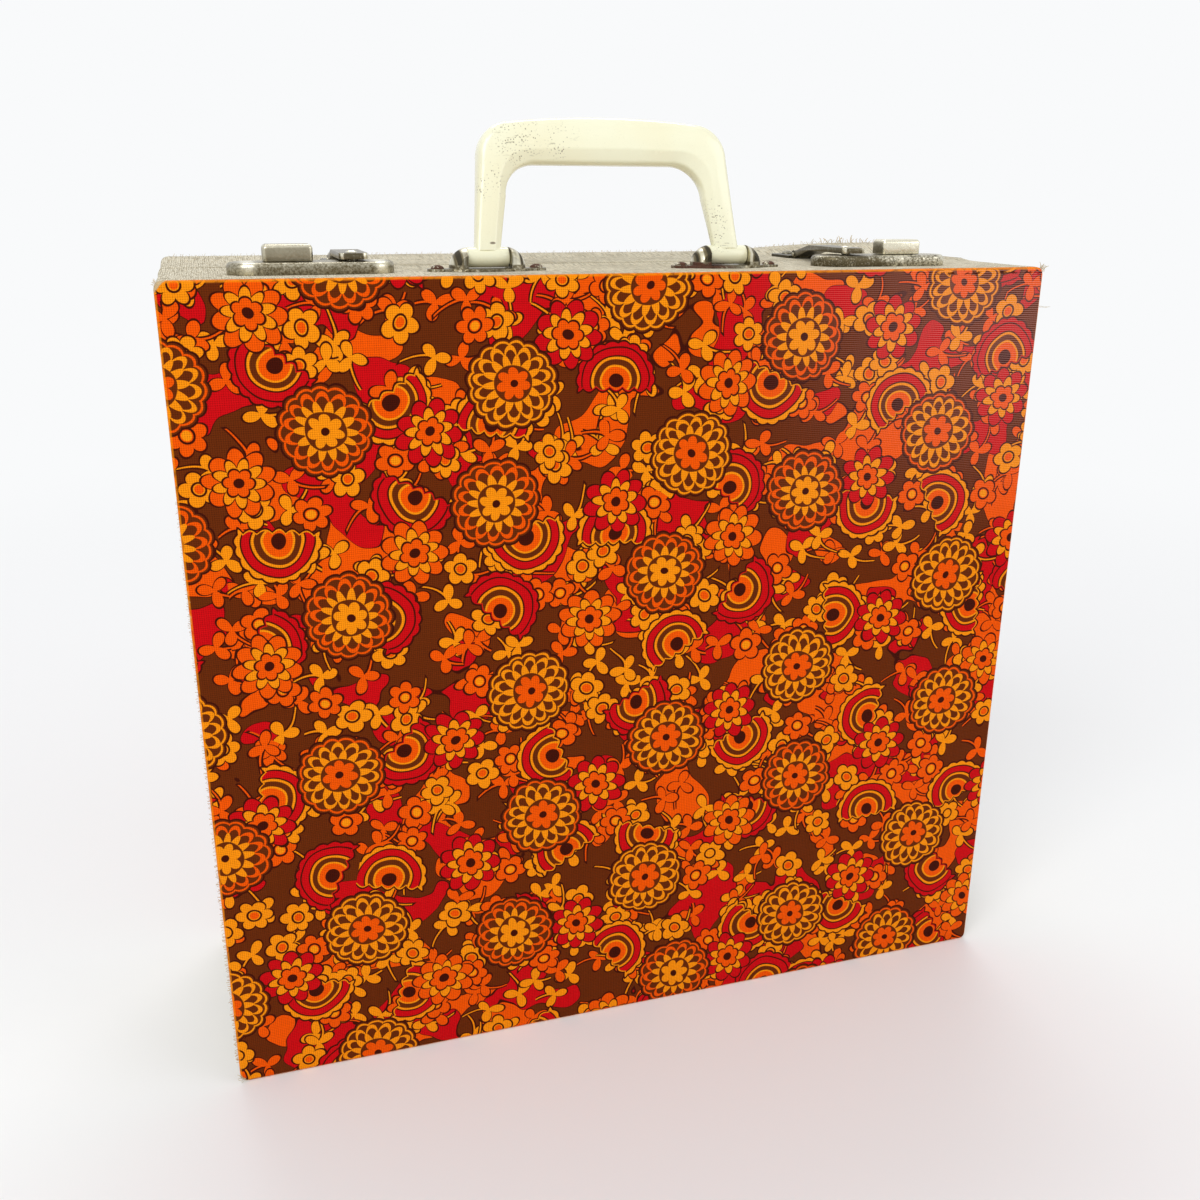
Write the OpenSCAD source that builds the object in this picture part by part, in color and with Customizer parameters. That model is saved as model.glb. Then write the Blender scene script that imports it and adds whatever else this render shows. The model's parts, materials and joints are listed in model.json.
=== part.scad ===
/* Carrying case for twelve-inch records: two cloth-covered half shells hinged at
   the bottom, two sliding latches and a moulded handle on top. Millimetres.
   X runs across the case, Y from the front face to the back, Z up from the table. */

/* [Case] */
// Width of the case
case_w = 356; // [334:1:400]
// Height of the front half
front_h = 331; // [330:1:380]
// Depth of the front half, which carries the handle
front_d = 58; // [52:1:90]
// Depth of the rear half, which is the lid
rear_d = 56; // [48:1:90]
// How far the top of the rear half stands above the front half
rear_rise = 1; // [0:0.25:2]
// Gap between the mouths of the closed halves
mouth_gap = 0.3; // [0.2:0.1:1]

/* [Shell] */
// Thickness of the rim boards
board_t = 5; // [4:0.5:8]
// Thickness of the face panels
panel_t = 3; // [2:0.5:5]
// Radius of the rim corners
corner_r = 3; // [2:0.5:8]
// Radius of the edge around each face
edge_r = 1.6; // [1:0.2:2.6]
// Number of comb fingers at each rim corner
comb_fingers = 5; // [3:2:9]
// Bevel along the bottom of each mouth, which lets the hinges lie flush
hinge_bevel = 4; // [3.6:0.2:4.6]

/* [Coverings] */
// Thickness of the printed face cloth
print_t = 0.5; // [0.3:0.1:0.8]
// Thickness of the plain rim cloth
cloth_t = 0.6; // [0.4:0.1:0.8]
// Thickness of the paper lining
lining_t = 0.4; // [0.3:0.1:0.6]
// Width of the rim cloth turned in at each mouth
turn_in = 8; // [5:1:9]

/* [Top hardware] */
// Sideways shift of the handle from the middle of the case
handle_shift = -6; // [-8:0.5:8]
// Sideways shift of the two locks from the middle of the case
lock_shift = -4; // [-8:0.5:8]
// Distance of the handle axis and lock centres behind the front face
hardware_set = 29; // [26:1:32]

/* [Handle] */
// Distance between the middles of the two handle feet
foot_span = 100; // [90:1:130]
// Width of a handle leg at its foot
foot_w = 10.6; // [9:0.2:14]
// Height of the top of the grip above the handle axis
grip_h = 53.6; // [46:0.2:70]
// Thickness of the grip, from its top to its underside
grip_t = 18.2; // [12:0.2:20]
// Depth of the grip from front to back
grip_d = 13; // [11:0.5:20]
// How far the top of the grip crowns between its corners and its middle
grip_crown = 2.2; // [0:0.2:5]
// How far each leg draws in between its foot and its corner
leg_draw = 3.6; // [0:0.2:5]
// Outer radius of the two top corners
outer_corner_r = 13.2; // [12:0.2:22]
// Inner radius of the two top corners
inner_corner_r = 13; // [8:1:16]
// Diameter of the cross barrel at each foot
barrel_d = 7.5; // [7:0.5:9]
// Length of the cross barrel at each foot
barrel_l = 16.6; // [14:0.5:20]
// Diameter of the two handle pins
handle_pin_d = 3; // [2:0.5:4]
// Backward lean of the handle at rest, in degrees
handle_lean = 15; // [0:1:20]

/* [Handle brackets] */
// Length of a bracket plate
bracket_l = 47; // [45:1:60]
// Width of a bracket plate
bracket_w = 16.4; // [14:0.4:20]
// Thickness of a bracket plate
bracket_t = 1; // [0.8:0.1:1.6]
// Radius of the domed ears
ear_r = 7.9; // [7:0.1:9]
// Width of the domed ears from front to back
ear_w = 12; // [10:0.2:13]
// How far the middle of each ear's dome lies inboard of its flat
ear_inset = 1.4; // [0:0.2:2]

/* [Locks] */
// Distance of each lock centre from the side of the case, before their shift
lock_set = 59.3; // [56:0.1:64]
// Length of a lock cover
lock_l = 61; // [58:1:66]
// Width of a lock cover
lock_w = 20; // [18:1:22]
// Height of a lock cover
lock_h = 4.4; // [4.2:0.1:6]
// Wall of a lock cover
lock_wall = 0.9; // [0.7:0.1:1.1]
// Radius of the pressed edge of a lock cover
lock_edge_r = 1.8; // [1.2:0.1:2.2]
// Thickness of the plate under a lock cover
lock_plate_t = 0.6; // [0.5:0.1:0.8]
// Distance of the button outboard of the lock centre
button_x = 8.5; // [8:0.5:10]
// Length of the button
button_l = 18; // [12:0.5:19]
// Width of the button
button_w = 10; // [8:0.5:12]
// Height of the button above the lock cover
button_h = 6.2; // [4:0.2:8]
// Travel of the button
button_travel = 5; // [3:0.5:5]
// Width of the sliding bolt
bolt_w = 6; // [4:0.5:8]
// Thickness of the sliding bolt
bolt_t = 1.4; // [1:0.1:1.6]
// Outer diameter of the return spring
spring_d = 2.4; // [2:0.1:2.6]
// Wire diameter of the return spring
spring_wire = 0.4; // [0.3:0.05:0.5]
// Number of turns of the return spring
spring_turns = 8; // [5:1:10]

/* [Hasps] */
// Distance of each hasp inboard of its lock centre
hasp_x = 15; // [14:0.5:18]
// Width of a hasp
hasp_w = 10.6; // [9:0.2:12]
// How far a hasp reaches past the middle of its hook
hasp_nose = 8; // [6:0.5:9]
// Height of the hasp channel
hasp_h = 2.2; // [1.8:0.1:3]
// Metal thickness of the hasp
hasp_t = 1; // [0.8:0.1:1.2]
// Gap between the hasp and the lock cover
hasp_gap = 0.8; // [0.4:0.1:1.2]
// Distance of the hasp axis behind the parting line
hasp_set = 11; // [8:0.5:12]
// Run over which a hasp rises from its knuckle to its height over the lock
hasp_rise = 15; // [12:0.5:18]
// Length of a hasp base behind its axis
hasp_base_l = 23; // [16:0.5:26]

/* [Case hinges] */
// Distance of each case hinge from the side of the case
hinge_set = 60; // [40:1:90]
// Length of a case hinge along the case
hinge_l = 36; // [27:3:60]
// Reach of a hinge leaf from the hinge axis
leaf_reach = 16; // [14:1:20]
// Thickness of a hinge leaf
leaf_t = 1; // [0.8:0.1:1.2]
// Radius of a hinge knuckle
knuckle_r = 1.9; // [1.7:0.1:2]
// Diameter of the hinge pins
hinge_pin_d = 1.8; // [1.4:0.1:2]
// How far the hinges stand clear of the table
floor_gap = 0.2; // [0.1:0.1:0.4]

/* [Rivets] */
// Shank diameter of the rivets
rivet_d = 2.8; // [2:0.2:3]
// Diameter of the clinched rivet heads inside the case
clinch_d = 5.2; // [4.6:0.2:6]
// Height of the clinched rivet heads
clinch_h = 0.8; // [0.5:0.1:1.2]
// Diameter of the domed rivet heads
dome_d = 4.4; // [4:0.2:6.4]
// Height of the domed rivet heads
dome_h = 1.4; // [1:0.1:2]

/* [Hidden] */
$fn = 48;
eps = 0.01;               // reach of a cut past the face that it opens
play = 0.05;              // radial clearance of a pin in its bore
side_play = 0.2;          // side clearance of knuckles, slots and pockets
slide_play = 0.3;         // clearance over and beside sliding pieces

case_d = front_d + rear_d;
rear_h = front_h + rear_rise;
parting_y = front_d - case_d / 2;
face_t = print_t + panel_t;
front_mouth = front_d - mouth_gap / 2;
rear_mouth = rear_d - mouth_gap / 2;
wall_t = cloth_t + board_t;
board_bevel = hinge_bevel + cloth_t * sqrt(2);
inside_t = wall_t + lining_t;

hardware_y = hardware_set - case_d / 2;
bracket_x = foot_span / 2;
bracket_end_r = 4;
bracket_rivet_x = bracket_l / 2 - bracket_end_r;
handle_z = front_h + bracket_t + slide_play + barrel_d / 2;
handle_pin_l = barrel_l + 6;
leg_sides = 24;
leg_rings = 8;
corner_rings = 9;
grip_rings = 5;

lock_x = case_w / 2 - lock_set;
lock_top = front_h + lock_h;
lock_ceiling = lock_top - lock_wall;
spring_z = front_h + (lock_plate_t + lock_h - lock_wall) / 2;
bolt_end_x = button_x + 3.5;
spring_tab_x = lock_l / 2 - 4.6;
spring_tab_t = 0.8;
neck_l = 4;               // neck between the button and its bolt
neck_w = 3;
button_edge_r = 1.6;
button_skin = 0.9;
bolt_tip_w = 3.2;
lock_stud_at = [[lock_l / 2 - 8, -5.6], [-lock_l / 2 + 5.4, 0]];

hasp_axis_y = parting_y + hasp_set;
hasp_base_t = 1.2;
hasp_knuckle_r = 1.7;
hasp_axis_z = rear_h + hasp_knuckle_r + side_play;
hasp_knuckle_w = 5;
hasp_clear = hasp_knuckle_r + 0.6;      // flat metal keeps this far from the knuckles
hasp_pin_d = 1.6;
hasp_top = lock_top + hasp_gap + hasp_h;
hasp_base_r = 4;
hasp_rivet_y = hasp_axis_y + hasp_base_l - hasp_base_r - 2;
hook_t = 1.5;
hook_w = 4;
hook_foot = 2.5;
hook_foot_t = 0.7;
hook_shank_d = 2.4;
hook_collar_d = 3.6;
hook_head_h = 0.9;
hook_side_gap = 0.8;
hook_y = hardware_y + 1;
hasp_front = hook_y - hasp_nose - hasp_axis_y;
hook_floor = front_h + lock_plate_t + side_play;
bolt_z = hook_floor + hook_foot_t + side_play;
bolt_tip_x = -hasp_x + hook_t / 2 + hook_foot + slide_play;

hinge_x = case_w / 2 - hinge_set;
hinge_z = knuckle_r + floor_gap;
leaf_top = floor_gap + leaf_t;
leaf_clear = 3.2;         // a leaf keeps this far from the other leaf's knuckles
leaf_rivet_y = leaf_reach - 5;
leaf_rivet_x = hinge_l / 3;
knuckle_room = knuckle_r + 0.6;

// Places of the rivets, as [x, y]; those of the leaves count y from the parting line
lock_studs = [for (s = [-1, 1]) for (p = lock_stud_at)
    [lock_shift + s * (lock_x + p[0]), hardware_y + p[1]]];
bracket_rivets = [for (s = [-1, 1]) for (t = [-1, 1])
    [handle_shift + s * bracket_x + t * bracket_rivet_x, hardware_y]];
hasp_rivets_at = [for (s = [-1, 1]) [lock_shift + s * (lock_x - hasp_x), hasp_rivet_y]];
leaf_rivets = [for (s = [-1, 1]) for (t = [-1, 1]) [s * hinge_x + t * leaf_rivet_x, leaf_rivet_y]];

print_ground = [0.42, 0.2, 0.06];
linen = [0.8, 0.78, 0.7];
paper = [0.86, 0.83, 0.74];
board = [0.72, 0.6, 0.44];
ivory = [0.93, 0.92, 0.8];
steel = [0.62, 0.62, 0.6];
bright = [0.8, 0.8, 0.8];

// ---------------------------------------------------------------- placing

// A block that runs from y0 to y1 behind a face, over an outline in X and Z
module slab(y0, y1) {
    translate([0, y1, 0]) rotate([90, 0, 0]) linear_extrude(y1 - y0) children();
}

// A bar along X over an outline in Y and Z
module bar(length) {
    rotate([90, 0, 90]) linear_extrude(length, center = true) children();
}

module rod(d, length) {
    rotate([0, 90, 0]) cylinder(d = d, h = length, center = true);
}

// Both halves are modelled from the face backwards, and the rear half is turned round
module front_half() {
    translate([0, -case_d / 2, 0]) children();
}

module rear_half() {
    translate([0, case_d / 2, 0]) rotate([0, 0, 180]) children();
}

// A lock is modelled with its outboard end towards +X, from the top of the case
module at_lock(side) {
    translate([lock_shift + side * lock_x, hardware_y, 0])
        mirror([side < 0 ? 1 : 0, 0, 0]) children();
}

module at_hasp(side) {
    translate([lock_shift + side * (lock_x - hasp_x), 0, 0])
        mirror([side < 0 ? 1 : 0, 0, 0]) children();
}

module at_bracket(side) {
    translate([handle_shift + side * bracket_x, hardware_y, front_h]) children();
}

// The case hinges sit on the parting line at the bottom, and Y runs into the rear half
module at_hinge(side) {
    translate([side * hinge_x, parting_y, hinge_z]) children();
}

// ---------------------------------------------------------------- half shells

// Outline of a half, inset by the coverings or walls outside it
module outline(h, inset) {
    r = max(corner_r - inset, 0.4);
    w = case_w - 2 * inset;
    translate([-w / 2 + r, inset]) square([w - 2 * r, h - 2 * inset]);
    translate([-w / 2, inset + r]) square([w, h - 2 * inset - 2 * r]);
    for (sx = [-1, 1], z = [inset + r, h - inset - r])
        translate([sx * (w / 2 - r), z]) circle(r);
}

module opening(h, inset) {
    translate([-case_w / 2 + inset, inset]) square([case_w - 2 * inset, h - 2 * inset]);
}

// Slab with a rounded edge round its face, as the panels and their cloth have
module rounded_slab(h, inset, y0, y1, r) {
    hull() {
        for (a = [0:30:90])
            slab(y0 + r * (1 - sin(a)), y0 + r * (1 - sin(a)) + 0.1)
                outline(h, inset + r * (1 - cos(a)), $fn = 24);
        slab(y1 - 0.1, y1) outline(h, inset, $fn = 24);
    }
}

// What the bevel takes off the bottom of a mouth
module bevel(h, mouth, size) {
    bar(case_w + 2) polygon([
        [mouth - size - 1, -1], [mouth + 1, -1], [mouth + 1, size + 1]
    ]);
}

// Ring of the four boards, as one block
module board_ring(h, mouth) {
    difference() {
        slab(face_t, mouth - cloth_t) outline(h, cloth_t);
        slab(0, mouth) opening(h, wall_t);
        bevel(h, mouth, board_bevel);
    }
}

// Every second finger of the comb joint, across the whole rim
module fingers(h, mouth, first) {
    step = (mouth - cloth_t - face_t) / comb_fingers;
    for (i = [first:2:comb_fingers - 1])
        slab(face_t + i * step, face_t + (i + 1) * step)
            translate([-case_w, -case_w]) square([2 * case_w, 3 * case_w]);
}

// A top or bottom board, between the side boards and with the outer fingers
module lying_board(h, mouth, top) {
    intersection() {
        board_ring(h, mouth);
        slab(0, mouth) translate([-case_w / 2, top ? h - wall_t : 0]) square([case_w, wall_t]);
        union() {
            slab(0, mouth) translate([-case_w / 2 + wall_t, 0]) square([case_w - 2 * wall_t, h]);
            fingers(h, mouth, 0);
        }
    }
}

// A side board, with the fingers between those of the top and bottom boards
module side_board(h, mouth, side) {
    intersection() {
        board_ring(h, mouth);
        slab(0, mouth)
            translate([side < 0 ? -case_w / 2 : case_w / 2 - wall_t, 0]) square([wall_t, h]);
        union() {
            slab(0, mouth) translate([-case_w / 2, wall_t]) square([case_w, h - 2 * wall_t]);
            fingers(h, mouth, 1);
        }
    }
}

module face_panel(h) {
    rounded_slab(h, print_t, print_t, face_t, edge_r - print_t);
}

module face_cloth(h) {
    difference() {
        rounded_slab(h, 0, 0, face_t, edge_r);
        rounded_slab(h, print_t, print_t, face_t + 1, edge_r - print_t);
    }
}

// Plain cloth round the rim, over the edge of the boards and turned in at the mouth
module rim_cover(h, mouth) {
    difference() {
        slab(face_t, mouth) outline(h, 0);
        bevel(h, mouth, hinge_bevel);
        difference() {
            slab(face_t - 1, mouth - cloth_t) outline(h, cloth_t);
            slab(face_t - 2, mouth) opening(h, wall_t);
            bevel(h, mouth, board_bevel);
        }
        slab(face_t - 1, mouth + 1) opening(h, wall_t + cloth_t);
        slab(face_t - 1, mouth - turn_in) opening(h, wall_t);
    }
}

module paper_lining(h, mouth) {
    difference() {
        slab(face_t, mouth - turn_in) opening(h, wall_t);
        slab(face_t + lining_t, mouth) opening(h, inside_t);
    }
}

// Vertical holes for rivet shanks, through the top or the bottom of the case
module drill(places, z0, z1) {
    for (p = places)
        translate([p[0], p[1], z0]) cylinder(d = rivet_d, h = z1 - z0);
}

module drill_front_top() {
    drill(lock_studs, front_h - inside_t - 1, front_h + 1);
    drill(bracket_rivets, front_h - inside_t - 1, front_h + 1);
}

module drill_rear_top() {
    drill(hasp_rivets_at, rear_h - inside_t - 1, rear_h + 1);
}

module drill_bottom(side) {
    for (p = leaf_rivets)
        translate([p[0], parting_y + side * p[1], -1]) cylinder(d = rivet_d, h = inside_t + 2);
}

// Room for the hinge leaves and knuckles in the bottom of a half
module hinge_pockets(side) {
    for (s = [-1, 1]) at_hinge(s) {
        translate([-hinge_l / 2 - side_play, side > 0 ? 0 : -leaf_reach - side_play, -hinge_z - 1])
            cube([hinge_l + 2 * side_play, leaf_reach + side_play, leaf_top + 1]);
        rod(2 * knuckle_room, hinge_l + 2 * side_play);
    }
}

module front_panel() color(board) front_half() face_panel(front_h);
module front_print_cloth() color(print_ground) front_half() face_cloth(front_h);
module front_left_board() color(board) front_half() side_board(front_h, front_mouth, -1);
module front_right_board() color(board) front_half() side_board(front_h, front_mouth, 1);

module front_top_board() color(board) difference() {
    front_half() lying_board(front_h, front_mouth, true);
    drill_front_top();
}

module front_bottom_board() color(board) difference() {
    front_half() lying_board(front_h, front_mouth, false);
    drill_bottom(-1);
    hinge_pockets(-1);
}

module front_rim_cloth() color(linen) difference() {
    front_half() rim_cover(front_h, front_mouth);
    drill_front_top();
    hinge_pockets(-1);
}

module front_lining() color(paper) difference() {
    front_half() paper_lining(front_h, front_mouth);
    drill_front_top();
    drill_bottom(-1);
}

module rear_panel() color(board) rear_half() face_panel(rear_h);
module rear_print_cloth() color(print_ground) rear_half() face_cloth(rear_h);
module rear_left_board() color(board) rear_half() side_board(rear_h, rear_mouth, 1);
module rear_right_board() color(board) rear_half() side_board(rear_h, rear_mouth, -1);

module rear_top_board() color(board) difference() {
    rear_half() lying_board(rear_h, rear_mouth, true);
    drill_rear_top();
}

module rear_bottom_board() color(board) difference() {
    rear_half() lying_board(rear_h, rear_mouth, false);
    drill_bottom(1);
    hinge_pockets(1);
}

module rear_rim_cloth() color(linen) difference() {
    rear_half() rim_cover(rear_h, rear_mouth);
    drill_rear_top();
    hinge_pockets(1);
}

module rear_lining() color(paper) difference() {
    rear_half() paper_lining(rear_h, rear_mouth);
    drill_rear_top();
    drill_bottom(1);
}

// ---------------------------------------------------------------- rivets

// Domed head, seated at z = 0
module dome_head(d, h) {
    r = (d * d / 4 + h * h) / (2 * h);
    intersection() {
        translate([0, 0, h - r]) sphere(r);
        cylinder(d = d + 1, h = h + 1);
    }
}

// Shank from z0 to z1 with its clinched head inside the case
module clinched_shank(z0, z1, clinch_up) {
    translate([0, 0, z0]) cylinder(d = rivet_d, h = z1 - z0);
    translate([0, 0, clinch_up ? z1 : z0 - clinch_h]) cylinder(d = clinch_d, h = clinch_h);
}

module handle_bracket_rivets() color(steel)
    for (p = bracket_rivets) translate([p[0], p[1], 0]) {
        translate([0, 0, front_h + bracket_t]) dome_head(dome_d, dome_h);
        clinched_shank(front_h - inside_t, front_h + bracket_t, false);
    }

module lock_studs() color(steel)
    for (p = lock_studs) translate([p[0], p[1], 0])
        clinched_shank(front_h - inside_t, lock_ceiling, false);

module hasp_base_rivets() color(steel)
    for (p = hasp_rivets_at) translate([p[0], p[1], 0]) {
        translate([0, 0, rear_h + hasp_base_t]) dome_head(dome_d, dome_h);
        clinched_shank(rear_h - inside_t, rear_h + hasp_base_t, false);
    }

// Countersunk rivets of the hinge leaves, flush with the outside of the leaf
module leaf_rivet_set(side) color(steel)
    for (p = leaf_rivets) translate([p[0], parting_y + side * p[1], 0]) {
        translate([0, 0, floor_gap]) cylinder(d1 = rivet_d + 2 * leaf_t, d2 = rivet_d, h = leaf_t);
        clinched_shank(leaf_top, inside_t, true);
    }

module hinge_front_rivets() leaf_rivet_set(-1);
module hinge_rear_rivets() leaf_rivet_set(1);

// ---------------------------------------------------------------- handle

function mix(a, b, t) = a + (b - a) * t;
function smooth(t) = t * t * (3 - 2 * t);

// Outer and inner outlines of half the handle, from its foot to the middle of the grip
foot_z = handle_pin_d / 2 + play + 0.4;
out_x = foot_span / 2 + foot_w / 2;
in_x = foot_span / 2 - foot_w / 2;
out_c = [out_x - leg_draw - outer_corner_r, grip_h - grip_crown - outer_corner_r];
in_c = [in_x - leg_draw - inner_corner_r, grip_h - grip_t - inner_corner_r];
outer_half = concat(
    [for (i = [0:leg_rings - 1]) let (t = i / leg_rings)
        [mix(out_x, out_x - leg_draw, t), mix(foot_z, out_c[1], t)]],
    [for (i = [0:corner_rings]) let (a = 90 * i / corner_rings)
        out_c + outer_corner_r * [cos(a), sin(a)]],
    [for (i = [1:grip_rings]) let (t = 1 - i / grip_rings)
        [out_c[0] * t, grip_h - grip_crown * t * t]]);
inner_half = concat(
    [for (i = [0:leg_rings - 1]) let (t = i / leg_rings)
        [mix(in_x, in_x - leg_draw, t), mix(foot_z, in_c[1], t)]],
    [for (i = [0:corner_rings]) let (a = 90 * i / corner_rings)
        in_c + inner_corner_r * [cos(a), sin(a)]],
    [for (i = [1:grip_rings]) [in_c[0] * (1 - i / grip_rings), grip_h - grip_t]]);
half_count = len(outer_half);
ring_count = 2 * half_count - 1;

function flip(p) = [-p[0], p[1]];
function outer_at(i) = i < half_count ? outer_half[i] : flip(outer_half[ring_count - 1 - i]);
function inner_at(i) = i < half_count ? inner_half[i] : flip(inner_half[ring_count - 1 - i]);

// Soft square section: the exponent makes the sides flatter than an ellipse
function soft(v) = sign(v) * pow(abs(v), 0.8);
function leg_depth(z) =
    mix(barrel_d - 0.3, grip_d, smooth(min(1, max(0, (z - foot_z) / (grip_h - grip_t / 2 - foot_z)))));
function section(i) = let (o = outer_at(i), n = inner_at(i), m = (o + n) / 2, h = (o - n) / 2,
        d = leg_depth(m[1]) / 2)
    [for (k = [0:leg_sides - 1]) let (a = 360 * k / leg_sides)
        [m[0] + h[0] * soft(cos(a)), d * soft(sin(a)), m[1] + h[1] * soft(cos(a))]];

module handle_loop() {
    points = [for (i = [0:ring_count - 1]) each section(i)];
    sides = [for (i = [0:ring_count - 2], k = [0:leg_sides - 1])
        let (a = i * leg_sides + k, b = i * leg_sides + (k + 1) % leg_sides)
            each [[a, b + leg_sides, b], [a, a + leg_sides, b + leg_sides]]];
    first = [for (k = [0:leg_sides - 1]) k];
    last = [for (k = [leg_sides - 1:-1:0]) (ring_count - 1) * leg_sides + k];
    polyhedron(points, concat([first], sides, [last]));
}

module handle_grip() color(ivory)
    translate([handle_shift, hardware_y, handle_z]) rotate([-handle_lean, 0, 0])
        difference() {
            union() {
                handle_loop();
                for (s = [-1, 1]) translate([s * bracket_x, 0, 0]) rod(barrel_d, barrel_l);
            }
            for (s = [-1, 1]) translate([s * bracket_x, 0, 0])
                rod(handle_pin_d + 2 * play, barrel_l + 2);
        }

module handle_pins() color(steel)
    for (s = [-1, 1])
        translate([handle_shift + s * bracket_x, hardware_y, handle_z]) rod(handle_pin_d, handle_pin_l);

// Lens-shaped plate with round ends, and two domed ears that hold the pin
module handle_bracket(side) color(bright) at_bracket(side) {
    lens_l = bracket_l - bracket_end_r / 2;     // its tips end inside the round ends
    arc_r = (lens_l * lens_l + bracket_w * bracket_w) / (4 * bracket_w);
    ear_x = barrel_l / 2 + side_play;
    pin_z = handle_z - front_h;
    difference() {
        union() {
            linear_extrude(bracket_t) {
                intersection() {
                    translate([0, arc_r - bracket_w / 2]) circle(arc_r, $fn = 180);
                    translate([0, bracket_w / 2 - arc_r]) circle(arc_r, $fn = 180);
                }
                for (s = [-1, 1]) translate([s * bracket_rivet_x, 0]) circle(bracket_end_r);
            }
            for (s = [0, 1]) mirror([s, 0, 0]) intersection() {
                translate([ear_x - ear_inset, 0, bracket_t]) rotate([90, 90, 0]) sphere(ear_r, $fn = 64);
                translate([ear_x, -ear_w / 2, bracket_t / 2]) cube([ear_r, ear_w, ear_r + bracket_t]);
            }
        }
        translate([0, 0, pin_z]) rod(handle_pin_d, handle_pin_l);
        for (s = [-1, 1]) translate([s * bracket_rivet_x, 0, -1])
            cylinder(d = rivet_d, h = bracket_t + 2);
    }
}

module left_handle_bracket() handle_bracket(-1);
module right_handle_bracket() handle_bracket(1);

// ---------------------------------------------------------------- locks

// Pressed form with round ends and a rounded top edge, standing on z = 0
module pill(l, w, h, r) {
    run = l - w;
    module profile() {
        square([w / 2 - r, h]);
        square([w / 2, h - r]);
        translate([w / 2 - r, h - r]) circle(r);
    }
    for (s = [-1, 1]) translate([s * run / 2, 0, 0]) rotate_extrude($fn = 64)
        intersection() {
            profile();
            square([w, h]);
        }
    bar(run) {
        profile();
        mirror([1, 0]) profile();
    }
}

module stadium(l, w) {
    square([l - w, w], center = true);
    for (s = [-1, 1]) translate([s * (l - w) / 2, 0]) circle(d = w);
}

module lock_cover() color(bright) difference() {
    translate([0, 0, front_h]) pill(lock_l, lock_w, lock_h, lock_edge_r);
    translate([0, 0, front_h - 1])
        pill(lock_l - 2 * lock_wall, lock_w - 2 * lock_wall, lock_h - lock_wall + 1,
            lock_edge_r - lock_wall);
    // Slot for the neck of the button
    translate([button_x - neck_l / 2 - slide_play, -neck_w / 2 - slide_play, front_h + 1])
        cube([neck_l + button_travel + 2 * slide_play, neck_w + 2 * slide_play, lock_h]);
    // Notch for the hook, open to the rear so that the lid can swing away with it
    translate([-hasp_x - hook_t / 2 - slide_play, hook_y - hook_w / 2 - hook_side_gap - hardware_y,
            front_h + lock_plate_t])
        cube([hook_t + hook_foot + 2 * slide_play, lock_w, lock_h]);
}

// Plate under the cover, with a tab that the return spring pushes against
module lock_plate() color(steel) {
    difference() {
        translate([0, 0, front_h]) linear_extrude(lock_plate_t)
            stadium(lock_l - 2 * lock_wall - 2 * side_play, lock_w - 2 * lock_wall - 2 * side_play);
        for (p = lock_stud_at) translate([p[0], p[1], front_h - 1]) cylinder(d = rivet_d, h = 3);
    }
    translate([spring_tab_x, -2, front_h + lock_plate_t - eps])
        cube([spring_tab_t, 4, lock_ceiling - front_h - lock_plate_t - side_play]);
}

// Sliding bolt: a strip under the button that narrows to its tip at the hook
module lock_bolt() color(steel)
    translate([0, 0, bolt_z]) linear_extrude(bolt_t) polygon([
        [bolt_tip_x, -bolt_tip_w / 2], [bolt_tip_x + 3, -bolt_tip_w / 2], [bolt_tip_x + 5, -bolt_w / 2],
        [bolt_end_x, -bolt_w / 2], [bolt_end_x, bolt_w / 2],
        [bolt_tip_x + 5, bolt_w / 2], [bolt_tip_x + 3, bolt_tip_w / 2], [bolt_tip_x, bolt_tip_w / 2]
    ]);

// Block with rounded sides and top edges, standing on z = 0
module soft_block(l, w, h, r) {
    hull() {
        for (sx = [-1, 1], sy = [-1, 1])
            translate([sx * (l / 2 - r), sy * (w / 2 - r), 0]) {
                cylinder(r = r, h = h - r, $fn = 24);
                translate([0, 0, h - r]) sphere(r, $fn = 24);
            }
    }
}

// Pressed button with its neck down through the slot to the bolt
module lock_button() color(bright) {
    inner_l = button_l - 2 * button_skin - 1;
    inner_w = button_w - 2 * button_skin - 1;
    translate([button_x, 0, lock_top + side_play]) difference() {
        soft_block(button_l, button_w, button_h - side_play, button_edge_r);
        translate([0, 0, -1]) linear_extrude(button_h - side_play - button_skin + 1)
            square([inner_l, inner_w], center = true);
    }
    translate([button_x - neck_l / 2, -neck_w / 2, bolt_z + bolt_t])
        cube([neck_l, neck_w, lock_top + button_h - button_skin - bolt_z - bolt_t + eps]);
}

// Helical return spring between the end of the bolt and the tab
module lock_spring() {
    x0 = bolt_end_x + spring_wire / 2 + play;
    length = spring_tab_x - play - spring_wire / 2 - x0;
    r = spring_d / 2 - spring_wire / 2;
    steps = 12 * spring_turns;
    wire_sides = 6;
    function centre(i) = let (a = 360 * i * spring_turns / steps)
        [x0 + length * i / steps, r * cos(a), spring_z + r * sin(a)];
    points = [for (i = [0:steps]) let (a = 360 * i * spring_turns / steps, c = centre(i))
        for (k = [0:wire_sides - 1]) let (b = 360 * k / wire_sides)
            c + spring_wire / 2 * [sin(b), cos(b) * cos(a), cos(b) * sin(a)]];
    sides = [for (i = [0:steps - 1], k = [0:wire_sides - 1])
        let (a = i * wire_sides + k, b = i * wire_sides + (k + 1) % wire_sides)
            each [[a, b + wire_sides, b], [a, a + wire_sides, b + wire_sides]]];
    first = [for (k = [0:wire_sides - 1]) k];
    last = [for (k = [wire_sides - 1:-1:0]) steps * wire_sides + k];
    color(steel) polyhedron(points, concat([first], sides, [last]));
}

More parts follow.
